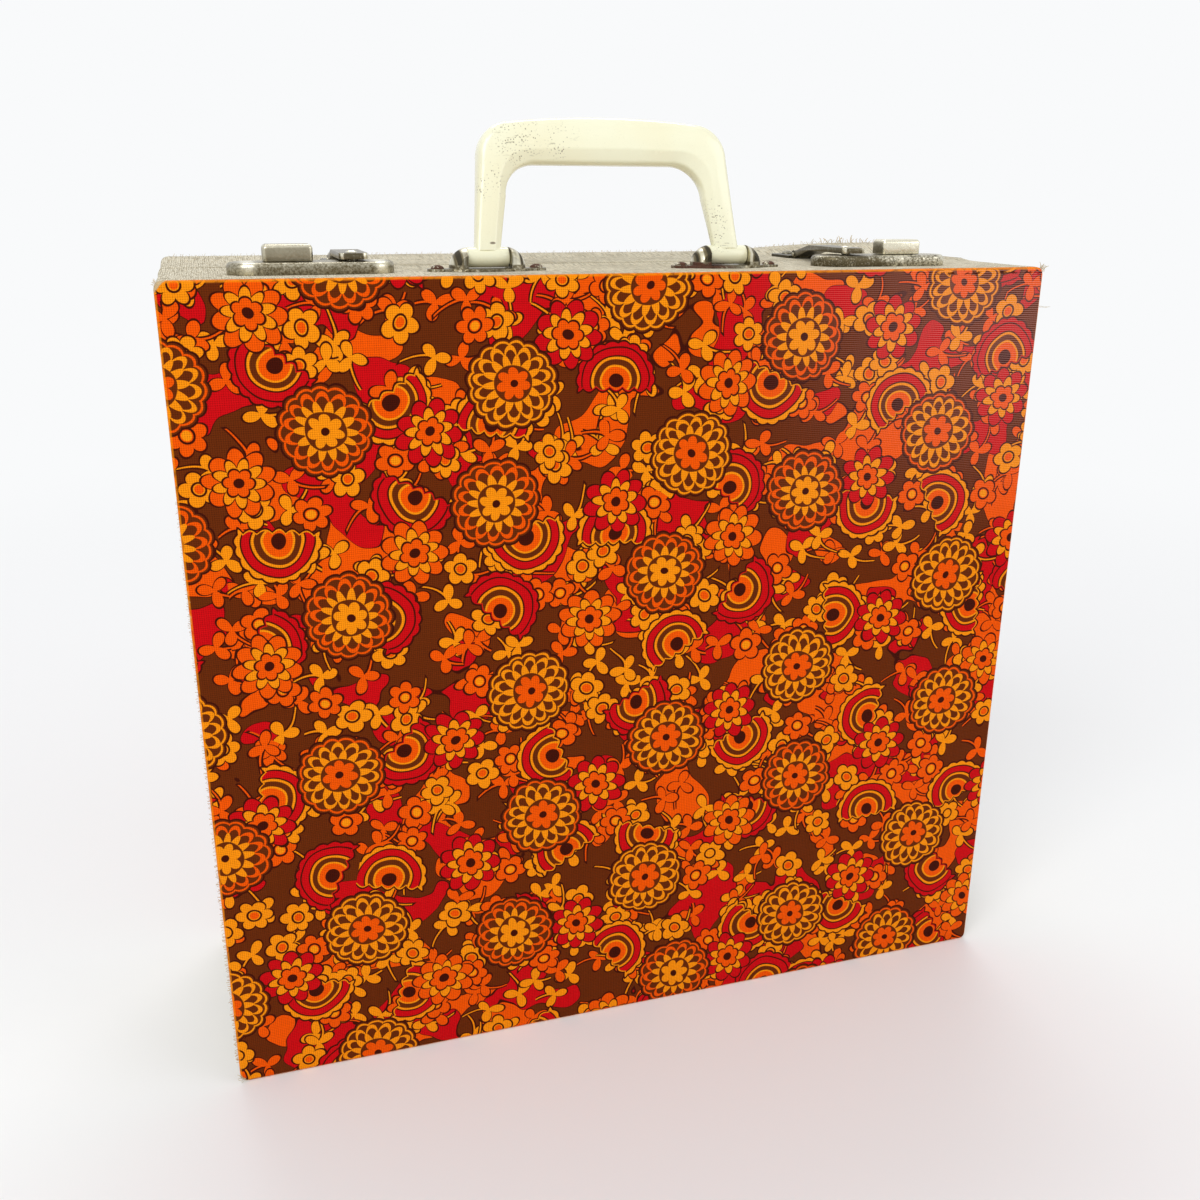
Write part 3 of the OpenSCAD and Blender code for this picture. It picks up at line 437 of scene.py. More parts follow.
def print_finish(s):
    """Woven book cloth with its print, rubbed at its folds and corners."""
    f = Finish("printed_cloth", Specular_IOR_Level=0.04)
    flat = f.cloth_place()
    wobble = f.node("ShaderNodeTexNoise", None, {"Vector": flat, "Scale": 0.05, "Detail": 1.0}, out="Color")
    at = f.vector("ADD", flat, f.vector("SCALE", f.vector("SUBTRACT", wobble, (0.5, 0.5, 0.5)), scale=4.0))
    tint = flower_print(f, at, s)

    # Woven grid: a dark gap between threads, and each thread a little different
    u, v, _ = f.split(flat)
    step = math.pi / (s.weave / MM)
    warp, weft = abs((u * step).calc("SINE")), abs((v * step).calc("SINE"))
    slub = f.noise(f.join(u * 1.7, v * 0.05), 1.0, 1.0) + f.noise(f.join(u * 0.05, v * 1.7, 9.0), 1.0, 1.0)
    thread = (warp.calc("MINIMUM", 0.6) + weft.calc("MINIMUM", 0.6)) / 1.2
    shade = f.ramp(thread, 0.2, 1.0, 0.54, 1.05) * (0.8 + slub * 0.2)
    tint = f.mix(1.0, tint, f.join(shade, shade, shade), "MULTIPLY")

    # Worn folds and corners, with painted light: a painted highlight runs along the fold, broken up by wear,
    # the print rubs through to the cloth, and the corners to the board. Towards the top right a painted
    # pinkish sheen lies on the crests of the threads, and a painted shadow marks where the cloth gapes.
    x, _, z = f.split(f.place())
    # Painted sheen: a pinkish reflection on the crests of the weft threads, strongest towards the top right
    crest = f.ramp(abs((v * step).calc("SINE")), 0.5, 0.95) * f.ramp(x, 0.02, 0.17) * f.ramp(z, 0.2, 0.325)
    tint = f.mix(crest * 0.3, tint, rgba(s.pale))
    low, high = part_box("front_print_cloth")
    across, upright = (high.x - abs(x)) / MM, (z - low.z).calc("MINIMUM", high.z - z) / MM
    rim = across.calc("MINIMUM", upright)
    coarse, fine = f.noise(flat, 0.35, 4.0, 0.65), f.noise(flat, 2.4, 3.0, 0.7)
    rubs = coarse + f.noise(flat, 0.03, 1.0) * 0.9
    worn = f.calc("MULTIPLY_ADD", rubs - rim * 0.2, 7.0, -7.4, clamp=True)
    # Painted highlight: a bright amber line along the fold, broken up by wear
    fold_highlight = f.ramp(rim, 0.5, 1.1, 0.65, 0.0) * f.ramp(coarse, 0.3, 0.5, 0.4, 1.0)
    tint = f.mix(fold_highlight, tint, rgba(s.amber))
    tint = f.mix(worn * (0.45 + fine * 0.7).calc("MINIMUM", 1.0), tint, rgba(s.rubbed))
    left_top = f.ramp(x - z, low.x - high.z, low.x - high.z + 9 * MM, 3.4, 0.0)
    left_foot = f.ramp(x + z, low.x + low.z, low.x + low.z + 9 * MM, 2.6, 0.0)
    corner = f.ramp(across + upright + (coarse - 0.5) * 5.0 - left_top - left_foot, 1.6, 2.6, 1.0, 0.0)
    bare = f.mix(fine, rgba(s.board), rgba(s.rubbed))
    tint = f.mix(corner, tint, bare)
    # Painted shadow: a dark line about 2 mm below the top edge, towards the right, where the cloth gapes from
    # its board
    gap = f.ramp(abs((high.z - z) / MM - 2.0 - (coarse - 0.5) * 3.0), 0.25, 0.6, 1.0, 0.0)
    gap = gap * f.ramp(f.noise(flat, 0.22, 2.0), 0.4, 0.52)
    tint = f.mix(gap * f.ramp(x, 0.112, 0.13) * 0.85, tint, rgba(s.outline))
    dust = f.noise(flat, 0.012, 3.0, 0.6)
    swell = f.bump(f.noise(flat, 0.05, 2.0), 0.0012)
    f.set(Base_Color=tint, Roughness=0.56 + dust * 0.1 + worn * 0.25 - thread * 0.1,
          Normal=f.bump(thread * 0.8 + slub * 0.4 - corner * 2.0, 0.00011, swell))
    return f.material


def linen_finish(s, name="rim_linen", loose=False):
    """Off-white cloth of slubbed threads, grey where hands and shelves have rubbed it."""
    f = Finish(name, Specular_IOR_Level=0.15, Sheen_Weight=0.15)
    if loose:
        tone = f.ramp(f.noise(f.place(), 300.0, 2.0), 0.35, 0.65, 0.0, 0.6)
        f.set(Base_Color=f.mix(tone, f.mix(0.4, rgba(s.cloth), rgba(s.grime)), rgba(s.warm)), Roughness=0.9)
        return f.material
    flat = f.cloth_place()
    u, v, _ = f.split(flat)
    step = math.pi / (s.thread / MM)
    bend = f.noise(flat, 0.12, 1.0) * 1.2
    warp, weft = abs(((u + bend) * step).calc("SINE")), abs(((v + bend) * step).calc("SINE"))
    long_slub = f.noise(f.join(u * 0.1, v * 1.3), 1.0, 2.0, 0.7)
    cross_slub = f.noise(f.join(u * 1.3, v * 0.1, 5.0), 1.0, 2.0, 0.7)
    fibre = f.noise(flat, 2.0, 3.0, 0.7)
    height = (warp + weft) * 0.3 + (long_slub + cross_slub) * 0.6 + fibre * 0.3
    # Painted shade: where the weave lies low it takes a darker tint of cloth and grime, as shade between the
    # threads, over the slubbed threads' own tone
    weave = f.ramp(height, 0.8, 1.3, 0.0, 1.0, soft=False)
    cloth = f.mix(weave, f.mix(0.8, rgba(s.cloth), rgba(s.grime)), rgba(s.cloth))
    rib = f.noise(f.join(u, v * 0.1, 7.0), 1.0, 2.0, 0.8)
    cloth = f.mix(f.ramp(rib, 0.46, 0.64, 0.0, 0.75), cloth, rgba(s.grime))
    specks = f.ramp(f.noise(flat, 1.1, 2.0, 0.7), 0.56, 0.66)
    dirty = f.ramp(f.noise(flat, 0.03, 4.0, 0.6), 0.44, 0.7, 0.0, 0.4) + specks * 0.4
    x, _, _ = f.split(f.place())
    # The cloth is made lighter towards its left end, where the grime is cut to about a third
    dirty = dirty * f.ramp(x, -0.16, -0.06, 0.35, 1.0)
    cloth = f.mix(dirty.calc("MINIMUM", 0.8), cloth, rgba(s.grime))
    cloth = f.mix(f.ramp(f.noise(flat, 0.6, 2.0), 0.48, 0.7, 0.0, 0.3), cloth, rgba(s.warm))
    f.set(Base_Color=cloth, Roughness=0.88, Normal=f.bump(height, 0.0004))
    return f.material


def lining_finish():
    """Cream paper with faint fibres and age spots."""
    f = Finish("lining_paper", Specular_IOR_Level=0.25)
    at = f.place()
    fibre = f.noise(at, 900.0, 3.0, 0.7, 2.0)
    cloud = f.noise(at, 14.0, 4.0, 0.6)
    spot = f.ramp(f.cells(at, 60.0, 1.0, flat=False), 0.05, 0.16, 1.0, 0.0) * f.ramp(cloud, 0.52, 0.62)
    base = f.mix(f.ramp(fibre, 0.3, 0.7), linear(226, 216, 192), linear(238, 231, 212))
    base = f.mix(cloud * 0.35, base, linear(214, 198, 164))
    base = f.mix(spot * 0.5, base, linear(176, 140, 92))
    f.set(Base_Color=base, Roughness=0.82 - fibre * 0.1, Normal=f.bump(fibre, 0.00008))
    return f.material


def board_finish(name, light, dark, grain_along):
    """Bare board: long grain for the rim boards, pressed fibres for the panels."""
    f = Finish(name, Specular_IOR_Level=0.2)
    x, y, z = f.split(f.place())
    stretch = {"X": (6.0, 160.0, 160.0), "Z": (160.0, 160.0, 6.0), None: (220.0, 220.0, 220.0)}[grain_along]
    at = f.join(x * stretch[0], y * stretch[1], z * stretch[2])
    grain = f.noise(at, 1.0, 5.0, 0.65, 0.6)
    pore = f.ramp(f.noise(at, 3.0, 2.0), 0.58, 0.7)
    base = f.mix(f.ramp(grain, 0.3, 0.7), dark, light)
    base = f.mix(pore * 0.5, base, tuple(c * 0.5 for c in dark[:3]) + (1.0,))
    f.set(Base_Color=base, Roughness=0.75 + pore * 0.15, Normal=f.bump(grain - pore * 0.5, 0.0002))
    return f.material


def plastic_finish(s):
    """Glossy ivory moulding, speckled with dirt on its left shoulder and both legs."""
    f = Finish("ivory_plastic", Specular_IOR_Level=0.5, IOR=1.5, Coat_Roughness=0.06)
    at = f.place()
    x, y, z = f.split(at)
    cloud = f.noise(at, 22.0, 3.0, 0.55)
    base = f.mix(f.ramp(cloud, 0.35, 0.75), rgba(s.plastic), rgba(s.aged))
    # Where dirt has collected, each as a middle and a reach: the left shoulder, the left leg high up,
    # and the inner side of the right leg down to its foot
    where = None
    for middle, reach in (((-0.042, -0.023, 0.380), 0.013), ((-0.055, -0.026, 0.364), 0.009),
                          ((0.038, -0.028, 0.352), 0.008), ((0.040, -0.030, 0.343), 0.008),
                          ((-0.024, -0.023, 0.379), 0.009)):
        near = f.ramp(f.vector("DISTANCE", at, middle, out="Value"), reach * 0.35, reach, 1.0, 0.0)
        where = near if where is None else where.calc("MAXIMUM", near)
    where = where * 1.2 + 0.05
    patch = f.ramp(f.noise(at, 240.0, 3.0, 0.7), 0.42, 0.62)
    dot = f.ramp(f.cells(at, 1000.0, 1.0, flat=False), 0.16, 0.34, 1.0, 0.0)
    large_dot = f.ramp(f.cells(at, 420.0, 1.0, flat=False), 0.06, 0.13, 1.0, 0.0)
    scuff = f.ramp(f.noise(f.join(x * 150.0, y * 300.0, z * 700.0), 1.0, 3.0, 0.75), 0.6, 0.7)
    dirt = ((dot * patch + large_dot + scuff * 0.5) * where).calc("MINIMUM", 1.0)
    # One lens-shaped chip low on the left leg
    from_chip = f.vector("MULTIPLY", f.vector("SUBTRACT", at, (-0.0541, -0.0307, 0.3414)), (1.0, 0.4, 2.6))
    chip = f.ramp(f.vector("LENGTH", from_chip, out="Value"), 0.0008, 0.0015, 1.0, 0.0)
    foot = f.ramp(z, 0.3335, 0.341, 0.3, 0.0) * f.ramp(f.noise(at, 130.0, 3.0, 0.7), 0.4, 0.7)
    base = f.mix(foot, base, rgba(s.aged))
    base = f.mix(dirt * 0.8, base, rgba(s.dirt))
    base = f.mix(chip * 0.85, base, rgba(s.dirt))
    dull = f.noise(at, 90.0, 3.0, 0.6)
    ripple = f.noise(at, 60.0, 1.0)
    f.set(Base_Color=base, Roughness=s.gloss + f.ramp(dull, 0.5, 0.75) * 0.1 + dirt * 0.3,
          Coat_Weight=0.4, Normal=f.bump(dirt * -0.4 - chip + dull * 0.1, 0.00012, f.bump(ripple, 0.0004)))
    return f.material


def metal_finish(name, s, dull, mottle, rust=0.0, gloss=0.26, seed=0.0, rub_and_highlight=0.4, deep=0.0,
                 fade=None, bare=(), rusty_to=None, ears=None):
    """Thin plating, dulled and mottled on its flats. Its rounded edges are lifted towards bright plating by a
    share: a painted highlight along the edges, with some rubbing wear. The dulled tone can be deep, the
    dullness can fade along X, and at given places along X it is lifted to bright plating as painted highlight
    spots. Rust can end along X, and above the height of the ears the plating is clean, with painted dark
    reflections in bands and streaks."""
    f = Finish(name, Specular_IOR_Level=0.5)
    place = f.place()
    at = f.vector("ADD", place, (seed, seed * 0.7, 0.0))
    x, y, z = f.split(place)
    # Painted highlight: on the rounded edges, where the normal leans off every axis, the tarnish is lifted
    # towards bright plating, with real rubbing wear there too
    facing = f.vector("ABSOLUTE", f.node("ShaderNodeTexCoord", out="Normal"))
    across, along, up = f.split(facing)
    flat = across.calc("MAXIMUM", along).calc("MAXIMUM", up)
    edge = f.ramp(flat, 0.86, 0.99, 1.0, 0.0)
    cloud, grain = f.noise(at, 150.0, 3.0, 0.6), f.noise(at, 1100.0, 4.0, 0.72)
    share = (cloud - 0.5) * (1.6 * mottle) + (grain - 0.5) * (4.2 * mottle) + dull - edge * rub_and_highlight
    if fade:
        share = share - f.ramp(x, fade[0], fade[1], 0.0, fade[2])
    # Painted highlights: the plating is lifted to bright nickel at the given places along X
    for spot in bare:
        share = share - f.ramp(abs(x - spot), 0.5 * MM, 4 * MM, 0.75, 0.0)
    pit = f.ramp(f.cells(at, 1100.0, 1.0, flat=False), 0.12, 0.34, 1.0, 0.0)
    pit = pit * f.ramp(f.noise(at, 260.0, 3.0, 0.6), 0.66 - 0.22 * mottle, 0.78 - 0.22 * mottle)
    rusty = f.ramp(f.noise(at, 190.0, 5.0, 0.72), 0.72 - 0.34 * rust, 0.78 - 0.34 * rust)
    if rusty_to:
        rusty = rusty * f.ramp(x, rusty_to - 4 * MM, rusty_to + 4 * MM, 1.0, 0.0)
    tarnish = share.calc("MINIMUM", 1.0).calc("MAXIMUM", 0.0)
    if ears:
        # Painted reflections: above the height of the ears the plating is clean, with dark bands and streaks
        # that stand in for the surroundings mirrored in the polished ears
        clean = f.ramp(z, ears, ears + 0.5 * MM)
        reflection_streak = f.noise(f.join(x * 420.0, y * 40.0, z * 30.0), 1.0, 1.0)
        reflection_bands = f.ramp(reflection_streak, 0.4, 0.6, 1.1, 0.15)
        tarnish = f.node("ShaderNodeMix", None, {0: clean, 2: tarnish, 3: reflection_bands})
        rusty, pit = rusty * (1.0 - clean), pit * (1.0 - clean * 0.8)
        pit = pit.calc("MAXIMUM", f.ramp(reflection_streak, 0.33, 0.4, 1.0, 0.0) * clean)
    shine = f.mix(tarnish, rgba(s.nickel), f.mix(deep, rgba(s.tarnish), rgba(s.shade)))
    shine = f.mix(pit * 0.8, shine, rgba(s.shade))
    brown = f.mix(grain, rgba(s.rust), rgba(s.shade))
    f.set(Base_Color=f.mix(rusty, shine, brown), Metallic=0.95 - rusty * 0.9 - pit * 0.3,
          Roughness=(tarnish * 0.14 + pit * 0.3 + rusty * 0.5 + gloss).calc("MINIMUM", 0.9),
          Normal=f.bump(grain * 0.25 - pit * 0.9 + rusty * (0.4 + grain), 0.00012, f.bump(cloud, 0.0003)))
    return f.material


# ------------------------------------------------------------------ meshes

def body_of(node):
    return frame["nodes"][node]["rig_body"]


def linked(name, data):
    """An object with its data, in the scene."""
    made = bpy.data.objects.new(name, data)
    bpy.context.scene.collection.objects.link(made)
    return made


def mesh_object(name, mesh, material, body, slot, *nodes):
    """Links a finished mesh, gives it its finish and body, and hides the nodes that it stands for."""
    piece = linked(name, mesh)
    mesh.materials.clear()
    mesh.materials.append(material)
    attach(piece, body)
    if nodes:
        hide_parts(*nodes)
    return piece


def applied(piece):
    """Turns a piece and its modifiers into a plain mesh."""
    bpy.context.view_layer.update()
    seen = piece.evaluated_get(bpy.context.evaluated_depsgraph_get())
    mesh = bpy.data.meshes.new_from_object(seen)
    bpy.data.objects.remove(piece)
    return mesh


class Growth(Graph):
    """A geometry node tree with named inputs, which is run once and leaves a plain mesh."""

    def __init__(self, name, **inputs):
        super().__init__(bpy.data.node_groups.new(name, "GeometryNodeTree"))
        sockets = self.tree.interface
        sockets.new_socket("Geometry", in_out="INPUT", socket_type="NodeSocketGeometry")
        for label, kind in inputs.items():
            sockets.new_socket(label.replace("_", " "), in_out="INPUT", socket_type="NodeSocket" + kind)
        sockets.new_socket("Material", in_out="INPUT", socket_type="NodeSocketMaterial")
        sockets.new_socket("Geometry", in_out="OUTPUT", socket_type="NodeSocketGeometry")
        self.given = Term(self, self.tree.nodes.new("NodeGroupInput").outputs[0])

    def random(self, low, high, seed):
        """A random vector for each point."""
        return self.node("FunctionNodeRandomValue", {"data_type": "FLOAT_VECTOR"},
                         {0: low, 1: high, "Seed": seed})

    def placed(self, geometry, place, stretch, turn=(0.0, 0.0, 0.0)):
        return self.node("GeometryNodeTransform", None, {"Geometry": geometry, "Translation": place,
                                                         "Rotation": turn, "Scale": stretch})

    def attribute(self, name, kind):
        return self.node("GeometryNodeInputNamedAttribute", {"data_type": kind}, {"Name": name})

    def wire(self, path, sides, radius):
        """A round wire with closed ends along a curve."""
        ring = self.node("GeometryNodeCurvePrimitiveCircle", None, {"Resolution": sides, "Radius": radius})
        return self.node("GeometryNodeCurveToMesh", None,
                         {"Curve": path, "Profile Curve": ring, "Fill Caps": True})

    def close(self, geometry):
        """Ends the tree: the instances become real and take the material that is given."""
        real = self.node("GeometryNodeRealizeInstances", None, {"Geometry": geometry})
        done = self.node("GeometryNodeSetMaterial", None,
                         {"Geometry": real, "Material": self.given.out("Material")})
        last = self.tree.nodes.new("NodeGroupOutput")
        self.tree.links.new(done.socket, last.inputs[0])

    def run(self, mesh, **values):
        piece = linked("draft", mesh)
        grow = piece.modifiers.new(self.tree.name, "NODES")
        grow.node_group = self.tree
        sockets = {item.name: item.identifier for item in self.tree.interface.items_tree
                   if item.in_out == "INPUT"}
        for label, value in values.items():
            grow[sockets[label.replace("_", " ")]] = value
        return applied(piece)


def point_mesh(places, edges=(), **attributes):
    """Bare points or paths, with a number or vector attribute for each point."""
    mesh = bpy.data.meshes.new("places")
    mesh.from_pydata(places, edges, [])
    for name, values in attributes.items():
        vector = isinstance(values[0], tuple)
        layer = mesh.attributes.new(name, "FLOAT_VECTOR" if vector else "FLOAT", "POINT")
        for item, value in zip(layer.data, values):
            setattr(item, "vector" if vector else "value", value)
    return mesh


def islands(node):
    """Lowest and highest corners of each separate solid of a CAD node."""
    made = bmesh.new()
    made.from_mesh(frame["nodes"][node].data)
    bmesh.ops.remove_doubles(made, verts=made.verts, dist=2e-6)
    left, boxes = set(made.verts), []
    while left:
        queue = [left.pop()]
        low, high = Vector(queue[0].co), Vector(queue[0].co)
        while queue:
            here = queue.pop()
            low = Vector(map(min, low, here.co))
            high = Vector(map(max, high, here.co))
            for edge in here.link_edges:
                there = edge.other_vert(here)
                if there in left:
                    left.remove(there)
                    queue.append(there)
        boxes.append((low, high))
    made.free()
    return sorted(boxes, key=lambda box: tuple(box[0]))


def soften(mesh, angle=32.0):
    """Smooth shading with sharp edges kept above an angle."""
    mesh.polygons.foreach_set("use_smooth", [True] * len(mesh.polygons))
    mesh.set_sharp_from_angle(angle=math.radians(angle))
    mesh.update()


def merged(node):
    """Copy of a CAD node's mesh with its loose triangles joined and its flat faces cleaned."""
    made = bmesh.new()
    made.from_mesh(frame["nodes"][node].data)
    bmesh.ops.remove_doubles(made, verts=made.verts, dist=2e-6)
    bmesh.ops.dissolve_limit(made, angle_limit=math.radians(0.6), verts=made.verts, edges=made.edges)
    mesh = bpy.data.meshes.new(node)
    made.to_mesh(mesh)
    made.free()
    return mesh


def slot_of(node):
    return next(n["material_slot"] for n in frame["record"]["subparts"] if n["node"] == node)


def outer_top_edges(made):
    """Edges of the outermost loop round the top of a pressing."""
    top = max(v.co.z for v in made.verts)
    left = {e for e in made.edges if all(v.co.z > top - 0.01 * MM for v in e.verts)
            and any(abs(face.normal.z) < 0.5 for face in e.link_faces)}
    loops = []
    while left:
        loop, queue = set(), [left.pop()]
        while queue:
            edge = queue.pop()
            loop.add(edge)
            for v in edge.verts:
                for other in v.link_edges:
                    if other in left:
                        left.remove(other)
                        queue.append(other)
        loops.append(loop)
    return max(loops, key=lambda loop: max(v.co.x for e in loop for v in e.verts)
               - min(v.co.x for e in loop for v in e.verts))


def bevelled(node, width, material, slot, angle=32.0, segments=2, shoulder=None):
    """The CAD node's own form with its hard edges eased, and a wide rounding round its top on request."""
    mesh = merged(node)
    if shoulder:
        made = bmesh.new()
        made.from_mesh(mesh)
        bmesh.ops.bevel(made, geom=list(outer_top_edges(made)), offset=shoulder, segments=5, profile=0.5,
                        affect="EDGES", clamp_overlap=True)
        made.to_mesh(mesh)
        made.free()
    draft = linked("draft", mesh)
    ease = draft.modifiers.new("ease", "BEVEL")
    ease.width, ease.segments, ease.limit_method = width, segments, "ANGLE"
    ease.angle_limit = math.radians(angle)
    ease.use_clamp_overlap = True
    mesh = applied(draft)
    soften(mesh, 40.0)
    return mesh_object(node + "_finished", mesh, material, body_of(node), slot, node)


def box_cloth_map(mesh):
    """Cloth map from the face directions: threads run along the case and across it."""
    layer = mesh.uv_layers.get("cloth") or mesh.uv_layers.new(name="cloth")
    for face in mesh.polygons:
        n = [abs(c) for c in face.normal]
        for corner in face.loop_indices:
            p = mesh.vertices[mesh.loops[corner].vertex_index].co
            if n[2] >= n[0] and n[2] >= n[1]:
                layer.data[corner].uv = (p.x, p.y)
            elif n[0] >= n[1]:
                layer.data[corner].uv = (p.z, p.y)
            else:
                layer.data[corner].uv = (p.x, p.z)


def case_settings():
    return bpy.context.scene.carrying_case


def clamped(share):
    return min(1.0, max(0.0, share))


def eased(share):
    """A smooth step from 0 to 1."""
    t = clamped(share)
    return t * t * (3 - 2 * t)


def rear_rise(s, high, x, y):
    """How far the loose rear edge of the cloth, high being its box's corner, stands above its board. It
    rises over its last 16 mm, and most where it has come loose: from 60 mm right of the middle on, in
    full from 140 mm, and down again in the last 20 mm before the corner."""
    loose = clamped((x - 60 * MM) / (80 * MM)) * clamped((179 * MM - x) / (20 * MM))
    return (s.crown + s.ruffle * eased(loose)) * eased((y - high.y + 16 * MM) / (14 * MM))


# ------------------------------------------------------------------ face cloth

def face_lines(low, high, pitch):
    """Grid lines from low to high, closer together near both ends."""
    near = [0.0, 0.35, 0.8, 1.4, 2.2, 3.4, 5.0, 7.5, 11.0]
    inner_low, inner_high = low + near[-1] * MM, high - near[-1] * MM
    count = max(2, round((inner_high - inner_low) / pitch))
    middle = [inner_low + (inner_high - inner_low) * i / count for i in range(1, count)]
    return [low + n * MM for n in near] + middle + [high - n * MM for n in reversed(near)]


def face_cloth_mesh(node, outwards, s):
    """Printed cloth of one half: a flat face, a rounded fold and a strip turned onto the rim."""
    low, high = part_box(node)
    edge_r, inner_r, reach = s.turned_edge, s.corner - s.turned_edge, high.y - low.y
    face_y = low.y if outwards < 0 else high.y
    xs = face_lines(low.x + edge_r, high.x - edge_r, 4 * MM)
    zs = face_lines(low.z + edge_r, high.z - edge_r, 4 * MM)
    last_i, last_k = len(xs) - 1, len(zs) - 1
    rng = random.Random(5 if outwards < 0 else 8)
    made = bmesh.new()
    cloth = made.loops.layers.uv.new("cloth")
    place, normal = {}, {}

    def face_point(i, k):
        x, z = xs[i], zs[k]
        middle = Vector((min(max(x, xs[0] + inner_r), xs[-1] - inner_r), face_y,
                         min(max(z, zs[0] + inner_r), zs[-1] - inner_r)))
        out = Vector((x, face_y, z)) - middle
        spot = middle + out.normalized() * min(out.length, inner_r)
        v = made.verts.new(spot)
        place[v] = (spot.x, spot.z)
        if out.length < 1e-7 or (i in (0, last_i)) != (k in (0, last_k)):
            straight = Vector(((i == last_i) - (i == 0), 0, (k == last_k) - (k == 0)))
            in_corner = min(x - xs[0], xs[-1] - x) < inner_r and min(z - zs[0], zs[-1] - z) < inner_r
            normal[v] = out.normalized() if in_corner and out.length > 1e-7 else straight
        else:
            normal[v] = out.normalized()
        return v

    grid = [[face_point(i, k) for k in range(len(zs))] for i in range(len(xs))]
    for i in range(last_i):
        for k in range(last_k):
            made.faces.new((grid[i][k], grid[i + 1][k], grid[i + 1][k + 1], grid[i][k + 1]))
    ring = ([grid[i][0] for i in range(last_i)] + [grid[last_i][k] for k in range(last_k)]
            + [grid[i][last_k] for i in range(last_i, 0, -1)] + [grid[0][k] for k in range(last_k, 0, -1)])
    # Five steps round the fold, then the turned strip, whose cut edge is a little uneven: each step is
    # its depth behind the face, its reach outwards and its distance along the cloth
    steps = [(edge_r * (1 - math.cos(a)), edge_r * math.sin(a), edge_r * a)
             for a in (math.radians(18 * n) for n in range(1, 6))]
    quarter = edge_r * math.pi / 2
    steps += [(2.4 * MM, edge_r, quarter + 0.8 * MM), (reach, edge_r, quarter + reach - edge_r)]
    wander = [0.0]
    for _ in ring[1:]:
        wander.append(0.8 * wander[-1] + rng.uniform(-0.14, 0.14) * MM)
    previous = ring
    for n, (depth, out, run) in enumerate(steps):
        here = []
        for start, sway in zip(ring, wander):
            cut = n == len(steps) - 1
            back = min(depth + sway - 0.15 * MM, reach) if cut else depth
            lift = 0.05 * MM if n >= len(steps) - 2 else 0.0
            spot = start.co + normal[start] * (out - lift)
            v = made.verts.new((spot.x, face_y - outwards * back, spot.z))
            flat = start.co + normal[start] * run
            place[v] = (flat.x, flat.z)
            here.append(v)
        for j in range(len(ring)):
            made.faces.new((previous[j], previous[j - 1], here[j - 1], here[j]))
        previous = here
    for face in made.faces:
        for loop in face.loops:
            loop[cloth].uv = place[loop.vert]
    bmesh.ops.recalc_face_normals(made, faces=made.faces)
    if sum(f.normal.y * outwards for f in made.faces) < 0:
        bmesh.ops.reverse_faces(made, faces=made.faces)
    mesh = bpy.data.meshes.new(node + "_finished")
    made.to_mesh(mesh)
    made.free()
    return mesh


def follow_rim(mesh, node, linen):
    """Lifts the top 30 mm of the rear print with the loose edge of the rim cloth."""
    _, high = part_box(node)
    _, rim_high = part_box("rear_rim_cloth")
    share = 0.86
    for v in mesh.vertices:
        near_top = eased((v.co.z - high.z + 30 * MM) / (28 * MM))
        v.co.z += share * rear_rise(linen, rim_high, v.co.x, v.co.y) * near_top


class CASE_OT_face_cloths(bpy.types.Operator):
    """Printed cloth on the front and rear faces"""
    bl_idname = "carrying_case.face_cloths"
    bl_label = "Face Cloths"

    def execute(self, context):
        s = case_settings().print_cloth
        finish = print_finish(s)
        for node, outwards in (("front_print_cloth", -1), ("rear_print_cloth", 1)):
            draft = linked("draft", face_cloth_mesh(node, outwards, s))
            thick = draft.modifiers.new("thick", "SOLIDIFY")
            thick.thickness, thick.offset = s.thickness, -1.0
            mesh = applied(draft)
            if outwards > 0:
                follow_rim(mesh, node, case_settings().linen)
            soften(mesh, 50.0)
            mesh_object(node + "_finished", mesh, finish, body_of(node), "print_cloth", node)
        return {"FINISHED"}


# ------------------------------------------------------------------ rim cloth

def gridded(mesh, pitch):
    """Cuts a mesh along planes at even distances, so that its flat faces can be moved."""
    made = bmesh.new()
    made.from_mesh(mesh)
    for axis in range(3):
        spots = [v.co[axis] for v in made.verts]
        low, high = min(spots), max(spots)
        count = round((high - low) / pitch)
        for n in range(1, count):
            plane = Vector((0, 0, 0))
            plane[axis] = 1
            bmesh.ops.bisect_plane(made, geom=made.verts[:] + made.edges[:] + made.faces[:], dist=1e-6,
                                   plane_co=plane * (low + (high - low) * n / count), plane_no=plane)
    made.to_mesh(mesh)
    made.free()


class CASE_OT_rim_cloths(bpy.types.Operator):
    """Plain cloth round the rims and over the mouths, a little uneven on its boards"""
    bl_idname = "carrying_case.rim_cloths"
    bl_label = "Rim Cloths"

    def execute(self, context):
        s = case_settings().linen
        finish = linen_finish(s)
        for node in ("front_rim_cloth", "rear_rim_cloth"):
            piece = bevelled(node, 0.35 * MM, finish, "rim_linen", angle=40.0)
            low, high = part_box(node)
            gridded(piece.data, 7 * MM)
            waves, unevenness = 45.0, 0.22 * MM
            for v in piece.data.vertices:
                here = v.co.copy()
                sway = noise.noise(here * waves) * unevenness
                if here.x < low.x + 0.5 * MM or here.x > high.x - 0.5 * MM:
                    v.co.x -= math.copysign(abs(sway), here.x)
                if here.z > high.z - 8 * MM:
                    v.co.z += sway * 0.5
                    if node.startswith("rear"):
                        v.co.z += rear_rise(s, high, here.x, here.y)
                    else:
                        v.co.z += s.lip * eased((here.y - high.y + 9 * MM) / (8 * MM))
            piece.data.update()
            box_cloth_map(piece.data)
        return {"FINISHED"}


